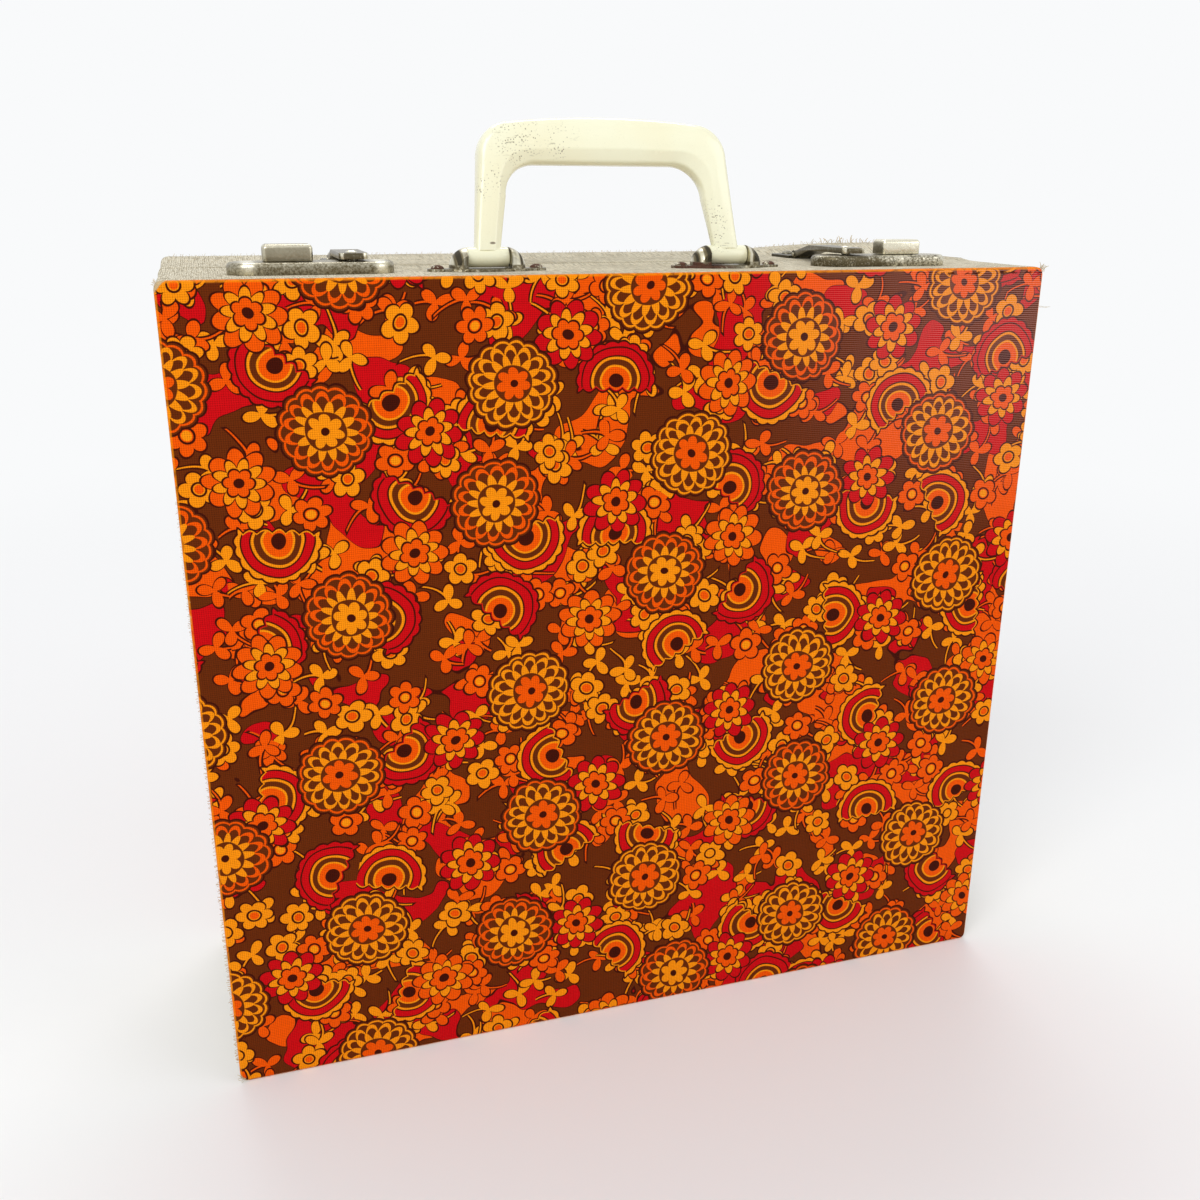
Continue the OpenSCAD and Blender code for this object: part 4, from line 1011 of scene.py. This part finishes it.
def thread_growth():
    """Threads along paths: way gives the direction at each point of a path, and reach the length."""
    g = Growth("frays", Count="Int", Spread="Vector", Wildness="Float", Wire="Float", Seed="Int")
    path = g.node("GeometryNodeMeshToCurve", None, {"Mesh": g.given})
    spots = g.node("GeometryNodeResampleCurve", None, {"Curve": path, "Count": g.given.out("Count")})
    spots = g.node("GeometryNodeCurveToPoints", {"mode": "EVALUATED"}, {"Curve": spots})
    low = g.vector("SCALE", g.given.out("Spread"), scale=-1.0)
    shake = g.random(low, g.given.out("Spread"), g.given.out("Seed"))
    spots = g.node("GeometryNodeSetPosition", None, {"Geometry": spots, "Offset": shake})
    stray = g.random(g.join(-1.0, -1.0, -0.3), g.join(1.0, 1.0, 0.6), 3)
    stray = g.vector("SCALE", stray, scale=g.given.out("Wildness"))
    way = g.vector("ADD", g.attribute("way", "FLOAT_VECTOR"), stray)
    turn = g.node("FunctionNodeAlignRotationToVector", {"axis": "Z"}, {"Vector": way})
    twist = g.random(g.join(0.0, 0.0), g.join(0.0, 0.0, 6.28), 7)
    spin = g.node("FunctionNodeRotateRotation", {"rotation_space": "LOCAL"},
                  {"Rotation": turn, "Rotate By": twist})
    share = g.node("FunctionNodeRandomValue", {"data_type": "FLOAT"}, {2: 0.35, 3: 1.25, "Seed": 11}, out=1)
    length = g.attribute("reach", "FLOAT") * share
    bent = g.node("GeometryNodeCurveQuadraticBezier", None,
                  {"Resolution": 6, "Start": (0, 0, 0), "Middle": (0.05, 0, 0.6), "End": (0.45, 0.1, 0.95)})
    g.close(g.node("GeometryNodeInstanceOnPoints", None,
                   {"Points": spots, "Instance": g.wire(bent, 5, g.given.out("Wire")), "Rotation": spin,
                    "Scale": g.join(length, length, length)}))
    return g


def chain(places, way, reaches):
    """One path through places, with one direction all along it."""
    return point_mesh(places, [(n, n + 1) for n in range(len(places) - 1)], reach=reaches,
                      way=[way] * len(places))


class CASE_OT_frays(bpy.types.Operator):
    """Loose thread ends of the cloth, along its rear edge and round the front face"""
    bl_idname = "carrying_case.frays"
    bl_label = "Frays"

    def execute(self, context):
        s = case_settings().linen
        growth = thread_growth()
        finish = linen_finish(s, "loose_threads", loose=True)

        def grow(name, body, paths, **inputs):
            mesh = growth.run(paths, Material=finish, **inputs)
            mesh_object(name, mesh, finish, body, "rim_linen")

        low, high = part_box("rear_rim_cloth")
        face_low, face_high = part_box("front_print_cloth")

        # Along the crest of the rear edge, longest in a tuft where the cloth has come loose
        tuft_x, tuft_half = 142 * MM, 20 * MM
        xs = [low.x + 3 * MM + (high.x - low.x - 6 * MM) * n / 60 for n in range(61)]
        places = [(x, high.y - 0.6 * MM, high.z + rear_rise(s, high, x, high.y) - 0.5 * MM) for x in xs]
        reaches = [(1.3 + 1.9 * math.exp(-((x - tuft_x) / tuft_half) ** 4)) * MM for x in xs]
        grow("rear_rim_frays", REAR, chain(places, (0.0, 0.1, 1.0), reaches), Count=s.frays,
             Spread=(1.2 * MM, 0.3 * MM, 0.15 * MM), Wildness=0.45, Wire=0.05, Seed=2)

        # Tufts at three corners of the front face
        left, right, front = face_low.x + 0.8 * MM, face_high.x - 0.8 * MM, face_low.y + 1 * MM
        tufts = (((right, front, face_high.z - 1 * MM), (0.6, -0.2, 0.8), 2.2 * MM),
                 ((left, front, face_high.z - 1 * MM), (-0.7, -0.3, 0.4), 1.6 * MM),
                 ((left, front, face_low.z + 1.6 * MM), (-0.7, -0.4, 0.3), 1.8 * MM))
        places = [(x, y + end * 0.8 * MM, z + end * 0.6 * MM) for (x, y, z), _, _ in tufts for end in (-1, 1)]
        paths = point_mesh(places, [(0, 1), (2, 3), (4, 5)],
                           reach=[reach for _, _, reach in tufts for _ in range(2)],
                           way=[way for _, way, _ in tufts for _ in range(2)])
        grow("front_corner_frays", FRONT, paths, Count=16, Spread=(0.6 * MM,) * 3, Wildness=0.7, Wire=0.05,
             Seed=5)

        # Fuzz behind the left fold, shorter towards the top
        places = [(face_low.x - 0.1 * MM, face_low.y + 2.6 * MM, (9 + 5 * n) * MM) for n in range(50)]
        reaches = [(1.2 - 0.012 * n) * MM for n in range(50)]
        grow("front_edge_frays", FRONT, chain(places, (-1.0, -0.3, 0.0), reaches), Count=s.frays,
             Spread=(0.1 * MM, 0.5 * MM, 0.4 * MM), Wildness=0.6, Wire=0.11, Seed=9)

        # One long thread that stands off the right side
        side, depth, height = face_high.x - 0.5 * MM, face_low.y + 0.8 * MM, 315 * MM
        places = [(side, depth, height), (side, depth, height - 0.4 * MM)]
        grow("front_loose_thread", FRONT, chain(places, (1.0, -0.1, -0.15), [9 * MM] * 2), Count=2,
             Spread=(0.0, 0.0, 0.1 * MM), Wildness=0.1, Wire=0.011, Seed=6)
        return {"FINISHED"}


class CASE_OT_shells(bpy.types.Operator):
    """Boards, panels and lining paper inside the coverings"""
    bl_idname = "carrying_case.shells"
    bl_label = "Boards and Lining"

    def execute(self, context):
        paper = lining_finish()
        pressed = board_finish("pressed_board", linear(142, 104, 66), linear(104, 72, 44), None)
        lying = board_finish("rim_board_lying", linear(205, 172, 124), linear(168, 130, 86), "X")
        standing = board_finish("rim_board_standing", linear(205, 172, 124), linear(168, 130, 86), "Z")
        finishes = {"lining": paper, "panel": pressed, "top_board": lying, "bottom_board": lying,
                    "left_board": standing, "right_board": standing}
        for half in ("front", "rear"):
            for part, finish in finishes.items():
                node = frame["nodes"][f"{half}_{part}"]
                node.data.materials.clear()
                node.data.materials.append(finish)
        return {"FINISHED"}


# ------------------------------------------------------------------ handle

def rounded_section():
    """Cross-section of the handle, from -1 to 1 both ways: flat front and back, a full outer side and
    chamfers along the inner edge, with every corner rounded."""
    corners = [(1.0, 0.0, 0.9), (0.86, 1.0, 0.9), (0.0, 1.03, 0.5), (-0.5, 0.96, 0.3), (-1.0, 0.5, 0.42),
               (-1.04, 0.0, 0.5)]
    corners += [(u, -v, ease) for u, v, ease in reversed(corners[1:5])]
    steps, section = 6, []
    for n, (u, v, ease) in enumerate(corners):
        before, after = Vector(corners[n - 1][:2]), Vector(corners[(n + 1) % len(corners)][:2])
        here = Vector((u, v))
        a, b = here.lerp(before, ease / 2), here.lerp(after, ease / 2)
        for k in range(steps):
            t = k / (steps - 1)
            section.append(a * (1 - t) ** 2 + here * 2 * t * (1 - t) + b * t * t)
    reach = [max(abs(point[axis]) for point in section) for axis in (0, 1)]
    return [(point.x / reach[0], point.y / reach[1]) for point in section]


def handle_rings(s):
    """Rings of the handle loop from its right foot to its left foot, from the middle of its axis."""
    foot_z = s.bore / 2 + 0.4 * MM
    out_x, in_x = (s.foot_span + s.foot_width) / 2, (s.foot_span - s.foot_width) / 2
    out_c = (out_x - s.draw - s.outer_corner, s.height - s.crown - s.outer_corner)
    in_c = (in_x - s.draw - s.inner_corner, s.height - s.grip - s.inner_corner)

    def half(x, c, r, top, crown):
        points = [(x - s.draw * t / 16, foot_z + (c[1] - foot_z) * t / 16) for t in range(16)]
        points += [(c[0] + r * math.cos(a), c[1] + r * math.sin(a))
                   for a in (math.pi / 2 * t / 20 for t in range(21))]
        points += [(c[0] * (1 - t / 12), top - crown * (1 - t / 12) ** 2) for t in range(1, 13)]
        return points

    outer = half(out_x, out_c, s.outer_corner, s.height, s.crown)
    inner = half(in_x, in_c, s.inner_corner, s.height - s.grip, 0.0)
    pairs = list(zip(outer, inner))
    pairs += [((-o[0], o[1]), (-n[0], n[1])) for o, n in reversed(pairs[:-1])]
    section = rounded_section()
    rings = []
    for o, n in pairs:
        middle = ((o[0] + n[0]) / 2, (o[1] + n[1]) / 2)
        arm = ((o[0] - n[0]) / 2, (o[1] - n[1]) / 2)
        foot_depth = s.barrel - 0.3 * MM
        up = eased((middle[1] - foot_z) / (s.height - s.grip / 2 - foot_z))
        deep = (foot_depth + (s.depth - foot_depth) * up) / 2
        rings.append([(middle[0] + arm[0] * u, deep * v, middle[1] + arm[1] * u) for u, v in section])
    return rings


class CASE_OT_handle(bpy.types.Operator):
    """Moulded ivory handle with its two cross barrels"""
    bl_idname = "carrying_case.handle"
    bl_label = "Handle"

    def execute(self, context):
        s = case_settings().handle
        joint = next(j for j in frame["joints"] if j["name"] == "handle_fold")
        lean = Matrix.Translation(joint["pos_m"]) @ Matrix.Rotation(-s.lean, 4, "X")
        made = bmesh.new()
        rings = [[made.verts.new(lean @ Vector(p)) for p in ring] for ring in handle_rings(s)]
        for a, b in zip(rings, rings[1:]):
            for k in range(len(a)):
                made.faces.new((a[k - 1], a[k], b[k], b[k - 1]))
        made.faces.new(rings[0])
        made.faces.new(list(reversed(rings[-1])))
        bmesh.ops.recalc_face_normals(made, faces=made.faces)
        # Cross barrels, bored for the pins, with eased ends
        end, ease, sides = s.barrel_length / 2, 0.5 * MM, 40
        radius = s.barrel / 2
        outline = [(s.bore / 2, -end), (radius - ease, -end), (radius - 0.3 * ease, -end + 0.3 * ease),
                   (radius, -end + ease)]
        outline += [(r, -x) for r, x in reversed(outline)]
        turns = [2 * math.pi * n / sides for n in range(sides)]
        for side in (-1, 1):
            middle = side * s.foot_span / 2
            loops = [[made.verts.new(lean @ Vector((middle + x, r * math.cos(a), r * math.sin(a))))
                      for a in turns] for r, x in outline]
            fresh = [made.faces.new((a[k - 1], a[k], b[k], b[k - 1]))
                     for a, b in zip(loops, loops[1:] + loops[:1]) for k in range(sides)]
            bmesh.ops.recalc_face_normals(made, faces=fresh)
        mesh = bpy.data.meshes.new("handle_moulding")
        made.to_mesh(mesh)
        made.free()
        soften(mesh, 45.0)
        mesh_object("handle_moulding", mesh, plastic_finish(s), "handle", "handle_plastic", "handle_grip")
        return {"FINISHED"}


# ------------------------------------------------------------------ metalwork

class CASE_OT_metalwork(bpy.types.Operator):
    """Latches, brackets, pins and hinges, each with eased edges and its own wear"""
    bl_idname = "carrying_case.metalwork"
    bl_label = "Metalwork"

    def execute(self, context):
        s = case_settings().metal
        _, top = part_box("front_rim_cloth")
        # Height above which the bracket ears get painted dark reflections in bands and streaks
        ears = top.z + 2.2 * MM
        low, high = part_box("right_lock_cover")
        middle = (low.x + high.x) / 2
        left_low, left_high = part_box("left_lock_cover")
        # Places of the painted highlight spots near both ends of the left lock cover, where its rounded
        # corners catch the light
        ends = [left_low.x + (left_high.x - left_low.x) * share for share in (0.12, 0.91)]
        button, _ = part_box("right_button")
        bracket, bracket_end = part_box("right_handle_bracket")
        dulled = metal_finish("dulled_nickel", s, 0.84, 0.42, rub_and_highlight=0.12, deep=0.12, bare=ends)
        mottled = metal_finish("mottled_nickel", s, 1.1, 0.85, seed=0.4, rub_and_highlight=0.1, deep=0.3,
                               fade=(middle - 0.012, middle + 0.006, 0.6))
        satin = metal_finish("satin_nickel", s, 0.72, 0.08, seed=0.7)
        bright = metal_finish("bright_nickel", s, 0.75, 0.14, seed=0.9, fade=(button.x, button.x + MM, 0.75))
        dark = metal_finish("dark_nickel", s, 1.0, 0.25, gloss=0.18, seed=1.3, rub_and_highlight=0.9, deep=0.35)
        darkest = metal_finish("darkest_nickel", s, 1.1, 0.25, rust=0.1, gloss=0.2, seed=1.3, rub_and_highlight=0.3,
                               deep=0.75)
        spotted = metal_finish("spotted_nickel", s, 0.9, 0.4, rust=0.12, seed=1.1, rub_and_highlight=0.0, ears=ears)
        rusty = metal_finish("rusted_nickel", s, 0.85, 0.4, rust=0.9, seed=1.7, rub_and_highlight=0.0, ears=ears,
                             rusty_to=(bracket.x + bracket_end.x) / 2)
        brown = metal_finish("rusted_rivets", s, 0.9, 0.5, rust=0.8, gloss=0.34, seed=2.6)
        plain = metal_finish("plain_steel", s, 0.6, 0.25, rust=0.2, gloss=0.34, seed=2.1)
        # Each piece, or the left and right one of a pair, with its finishes and its eased edges in mm
        work = (
            ("*_lock_cover", (dulled, mottled), 0.12), ("*_button", (satin, bright), 0.7),
            ("*_handle_bracket", (spotted, rusty), 0.15), ("*_hasp", (dark, dark), 0.25),
            ("*_hasp_hook", (dark, dark), 0.08), ("*_hasp_base", (darkest, darkest), 0.2),
            ("*_lock_plate", (plain, plain), 0.08), ("*_bolt", (plain, plain), 0.08),
            ("*_hasp_pin", (plain, plain), 0.08), ("handle_pins", (plain,), 0.08),
            ("hinge_pins", (plain,), 0.08), ("lock_studs", (plain,), 0.1),
            ("*_hinge_front_leaf", (plain, plain), 0.1), ("*_hinge_rear_leaf", (plain, plain), 0.1),
            ("hinge_front_rivets", (plain,), 0.08), ("hinge_rear_rivets", (plain,), 0.08),
        )
        for part, finishes, width in work:
            shoulder = s.shoulder if part.endswith("lock_cover") else None
            for side, finish in zip(("left", "right"), finishes):
                node = part.replace("*", side)
                bevelled(node, width * MM, finish, slot_of(node), shoulder=shoulder)
        self.rivets(s, {"handle_bracket_rivets": brown, "hasp_base_rivets": darkest})
        self.springs(s, plain)
        return {"FINISHED"}

    def rivets(self, s, finishes):
        """Domed rivets, each with its shank and its clinched end inside the case."""
        g = Growth("rivets", Head="Float", Rise="Float", Shank="Float", Length="Float", Clinch="Float",
                   Foot="Float", Tilt="Float", Seed="Int")
        head, rise, shank, length, clinch, foot = (g.given.out(n) for n in
                                                   ("Head", "Rise", "Shank", "Length", "Clinch", "Foot"))
        ball = g.node("GeometryNodeMeshUVSphere", None, {"Segments": 24, "Rings": 16, "Radius": 1.0})
        pin = g.node("GeometryNodeMeshCylinder", None, {"Vertices": 16, "Radius": shank, "Depth": length})
        parts = [g.placed(ball, g.join(0.0, 0.0), g.join(head, head, rise)),
                 g.placed(pin, g.join(0.0, 0.0, length * -0.5), g.join(1.0, 1.0, 1.0)),
                 g.placed(ball, g.join(0.0, 0.0, -length), g.join(clinch, clinch, foot))]
        whole = g.node("GeometryNodeJoinGeometry")
        for part in parts:
            g.tree.links.new(part.socket, whole.socket.node.inputs[0])
        smooth = g.node("GeometryNodeSetShadeSmooth", None, {"Geometry": whole})
        tilt = g.given.out("Tilt")
        lean = g.random(g.join(-tilt, -tilt), g.join(tilt, tilt, 6.28), g.given.out("Seed"))
        g.close(g.node("GeometryNodeInstanceOnPoints", None,
                       {"Points": g.given, "Instance": smooth, "Rotation": lean}))
        for node, finish in finishes.items():
            boxes = islands(node)
            low, high = boxes[0]
            wide = (high.x - low.x) / 2
            places = [((a.x + b.x) / 2, (a.y + b.y) / 2, b.z - s.rivet_rise) for a, b in boxes]
            mesh = g.run(point_mesh(places), Head=wide, Rise=s.rivet_rise, Shank=s.rivet_shank / 2,
                         Length=high.z - s.rivet_rise - low.z - 0.5 * MM, Clinch=s.rivet_shank * 0.75,
                         Foot=0.5 * MM, Tilt=0.05, Seed=4, Material=finish)
            mesh_object(node + "_finished", mesh, finish, body_of(node), slot_of(node), node)

    def springs(self, s, finish):
        """Return springs of the locks, wound along X."""
        g = Growth("springs", Turns="Float", Radius="Float", Wire="Float", Length="Float", Place="Vector")
        radius = g.given.out("Radius")
        coil = g.node("GeometryNodeCurveSpiral", None, {
            "Resolution": 20, "Rotations": g.given.out("Turns"), "Start Radius": radius, "End Radius": radius,
            "Height": g.given.out("Length")})
        along_x = (0.0, math.pi / 2, 0.0)
        g.close(g.placed(g.wire(coil, 8, g.given.out("Wire")), g.given.out("Place"), g.join(1.0, 1.0, 1.0),
                         along_x))
        for side, node in (("left", "left_return_spring"), ("right", "right_return_spring")):
            low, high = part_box(node)
            wire = s.spring_wire / 2
            start = (low.x + wire, (low.y + high.y) / 2, (low.z + high.z) / 2)
            mesh = g.run(point_mesh([(0.0, 0.0, 0.0)]), Turns=float(s.spring_turns), Wire=wire,
                         Radius=(high.z - low.z) / 2 - wire, Length=high.x - low.x - 2 * wire, Place=start,
                         Material=finish)
            soften(mesh, 60.0)
            piece = mesh_object(node + "_finished", mesh, finish, body_of(node), slot_of(node), node)
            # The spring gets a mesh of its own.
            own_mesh(piece)


# ------------------------------------------------------------------ stage

class CASE_OT_stage(bpy.types.Operator):
    """Camera, pale floor and soft studio light"""
    bl_idname = "carrying_case.stage"
    bl_label = "Stage"

    def execute(self, context):
        s = case_settings().stage
        scene = context.scene
        level = math.cos(s.pitch)
        forward = Vector((math.sin(s.yaw) * level, math.cos(s.yaw) * level, -math.sin(s.pitch)))
        right = Vector((math.cos(s.yaw), -math.sin(s.yaw), 0))
        up = right.cross(forward)
        right, up = (right * math.cos(s.roll) + up * math.sin(s.roll),
                     up * math.cos(s.roll) - right * math.sin(s.roll))
        lens = bpy.data.cameras.new("camera")
        lens.sensor_width, lens.lens, lens.clip_start = 36.0, s.lens, 0.01
        camera = linked("camera", lens)
        turned = Matrix((right, up, -forward)).transposed().to_4x4()
        camera.matrix_world = Matrix.Translation(s.place) @ turned
        scene.camera = camera

        f = Finish("floor", Roughness=0.8, Specular_IOR_Level=0.1)
        floor_mesh = bpy.data.meshes.new("floor")
        floor_mesh.from_pydata([(-8, -8, 0), (8, -8, 0), (8, 8, 0), (-8, 8, 0)], [], [(0, 1, 2, 3)])
        f.set(Base_Color=rgba(s.floor))
        beyond = f.ramp(f.vector("LENGTH", f.place(), out="Value"), s.near, s.far) * f.in_sight()
        plain = f.node("ShaderNodeEmission", None, {"Color": rgba(s.backdrop), "Strength": 1.0})
        blend = f.node("ShaderNodeMixShader", None, {0: beyond, 1: Term(f, f.shader.outputs[0]), 2: plain})
        f.tree.links.new(blend.socket, f.tree.nodes["Material Output"].inputs["Surface"])
        floor_mesh.materials.append(f.material)
        linked("floor", floor_mesh)

        world = bpy.data.worlds.new("studio")
        scene.world = world
        world.use_nodes = True
        w = Graph(world.node_tree)
        light = w.node("ShaderNodeBackground", None, {"Color": (0.93, 0.96, 1.0, 1), "Strength": 0.6})
        seen = w.node("ShaderNodeBackground", None, {"Color": rgba(s.backdrop), "Strength": 1.0})
        blend = w.node("ShaderNodeMixShader", None, {0: w.in_sight(), 1: light, 2: seen})
        world.node_tree.links.new(blend.socket, world.node_tree.nodes["World Output"].inputs["Surface"])

        for name, place, aim, width, height, power in (
                ("key", (-1.3, -1.5, 1.9), (0, 0, 0.18), 1.5, 1.5, 31.0),
                ("fill", (1.9, -1.4, 1.1), (0, 0, 0.2), 1.6, 1.6, 12.0),
                ("top", (0.2, 1.2, 2.2), (0, 0, 0.25), 1.6, 1.0, 17.0)):
            lamp = bpy.data.lights.new(name, "AREA")
            lamp.shape, lamp.size, lamp.size_y, lamp.energy = "RECTANGLE", width, height, power
            piece = linked(name, lamp)
            piece.location = place
            piece.rotation_euler = (Vector(aim) - Vector(place)).to_track_quat("-Z", "Y").to_euler()
        scene.view_settings.view_transform = "Standard"
        return {"FINISHED"}


# ------------------------------------------------------------------ add-on

class CarryingCaseSettings(bpy.types.PropertyGroup):
    """All settings of the case"""
    print_cloth: PointerProperty(type=PrintSettings, name="Print", description="Printed face cloth")
    linen: PointerProperty(type=LinenSettings, name="Linen", description="Plain rim cloth")
    handle: PointerProperty(type=HandleSettings, name="Handle", description="Moulded handle")
    metal: PointerProperty(type=MetalSettings, name="Metal", description="Latches, brackets and hinges")
    stage: PointerProperty(type=StageSettings, name="Stage", description="Camera, floor and light")


OPERATORS = (CASE_OT_stage, CASE_OT_shells, CASE_OT_face_cloths, CASE_OT_rim_cloths, CASE_OT_frays,
             CASE_OT_handle, CASE_OT_metalwork)


class CASE_PT_panel(bpy.types.Panel):
    """Settings and pieces of the carrying case"""
    bl_idname = "CASE_PT_panel"
    bl_label = "Carrying Case"
    bl_space_type = "VIEW_3D"
    bl_region_type = "UI"
    bl_category = "Carrying Case"

    def draw(self, context):
        settings = context.scene.carrying_case
        for operator in OPERATORS:
            self.layout.operator(operator.bl_idname)
        for name in ("print_cloth", "linen", "handle", "metal", "stage"):
            group = getattr(settings, name)
            box = self.layout.box()
            box.label(text=group.bl_rna.description)
            for key in group.__annotations__:
                box.prop(group, key)


CLASSES = (PrintSettings, LinenSettings, HandleSettings, MetalSettings, StageSettings, CarryingCaseSettings,
           *OPERATORS, CASE_PT_panel)


def register():
    for each in CLASSES:
        bpy.utils.register_class(each)
    bpy.types.Scene.carrying_case = PointerProperty(type=CarryingCaseSettings)


def unregister():
    del bpy.types.Scene.carrying_case
    for each in reversed(CLASSES):
        bpy.utils.unregister_class(each)


def main():
    register()
    for operator in OPERATORS:
        group, name = operator.bl_idname.split(".")
        getattr(getattr(bpy.ops, group), name)()


if __name__ == "__main__":
    main()
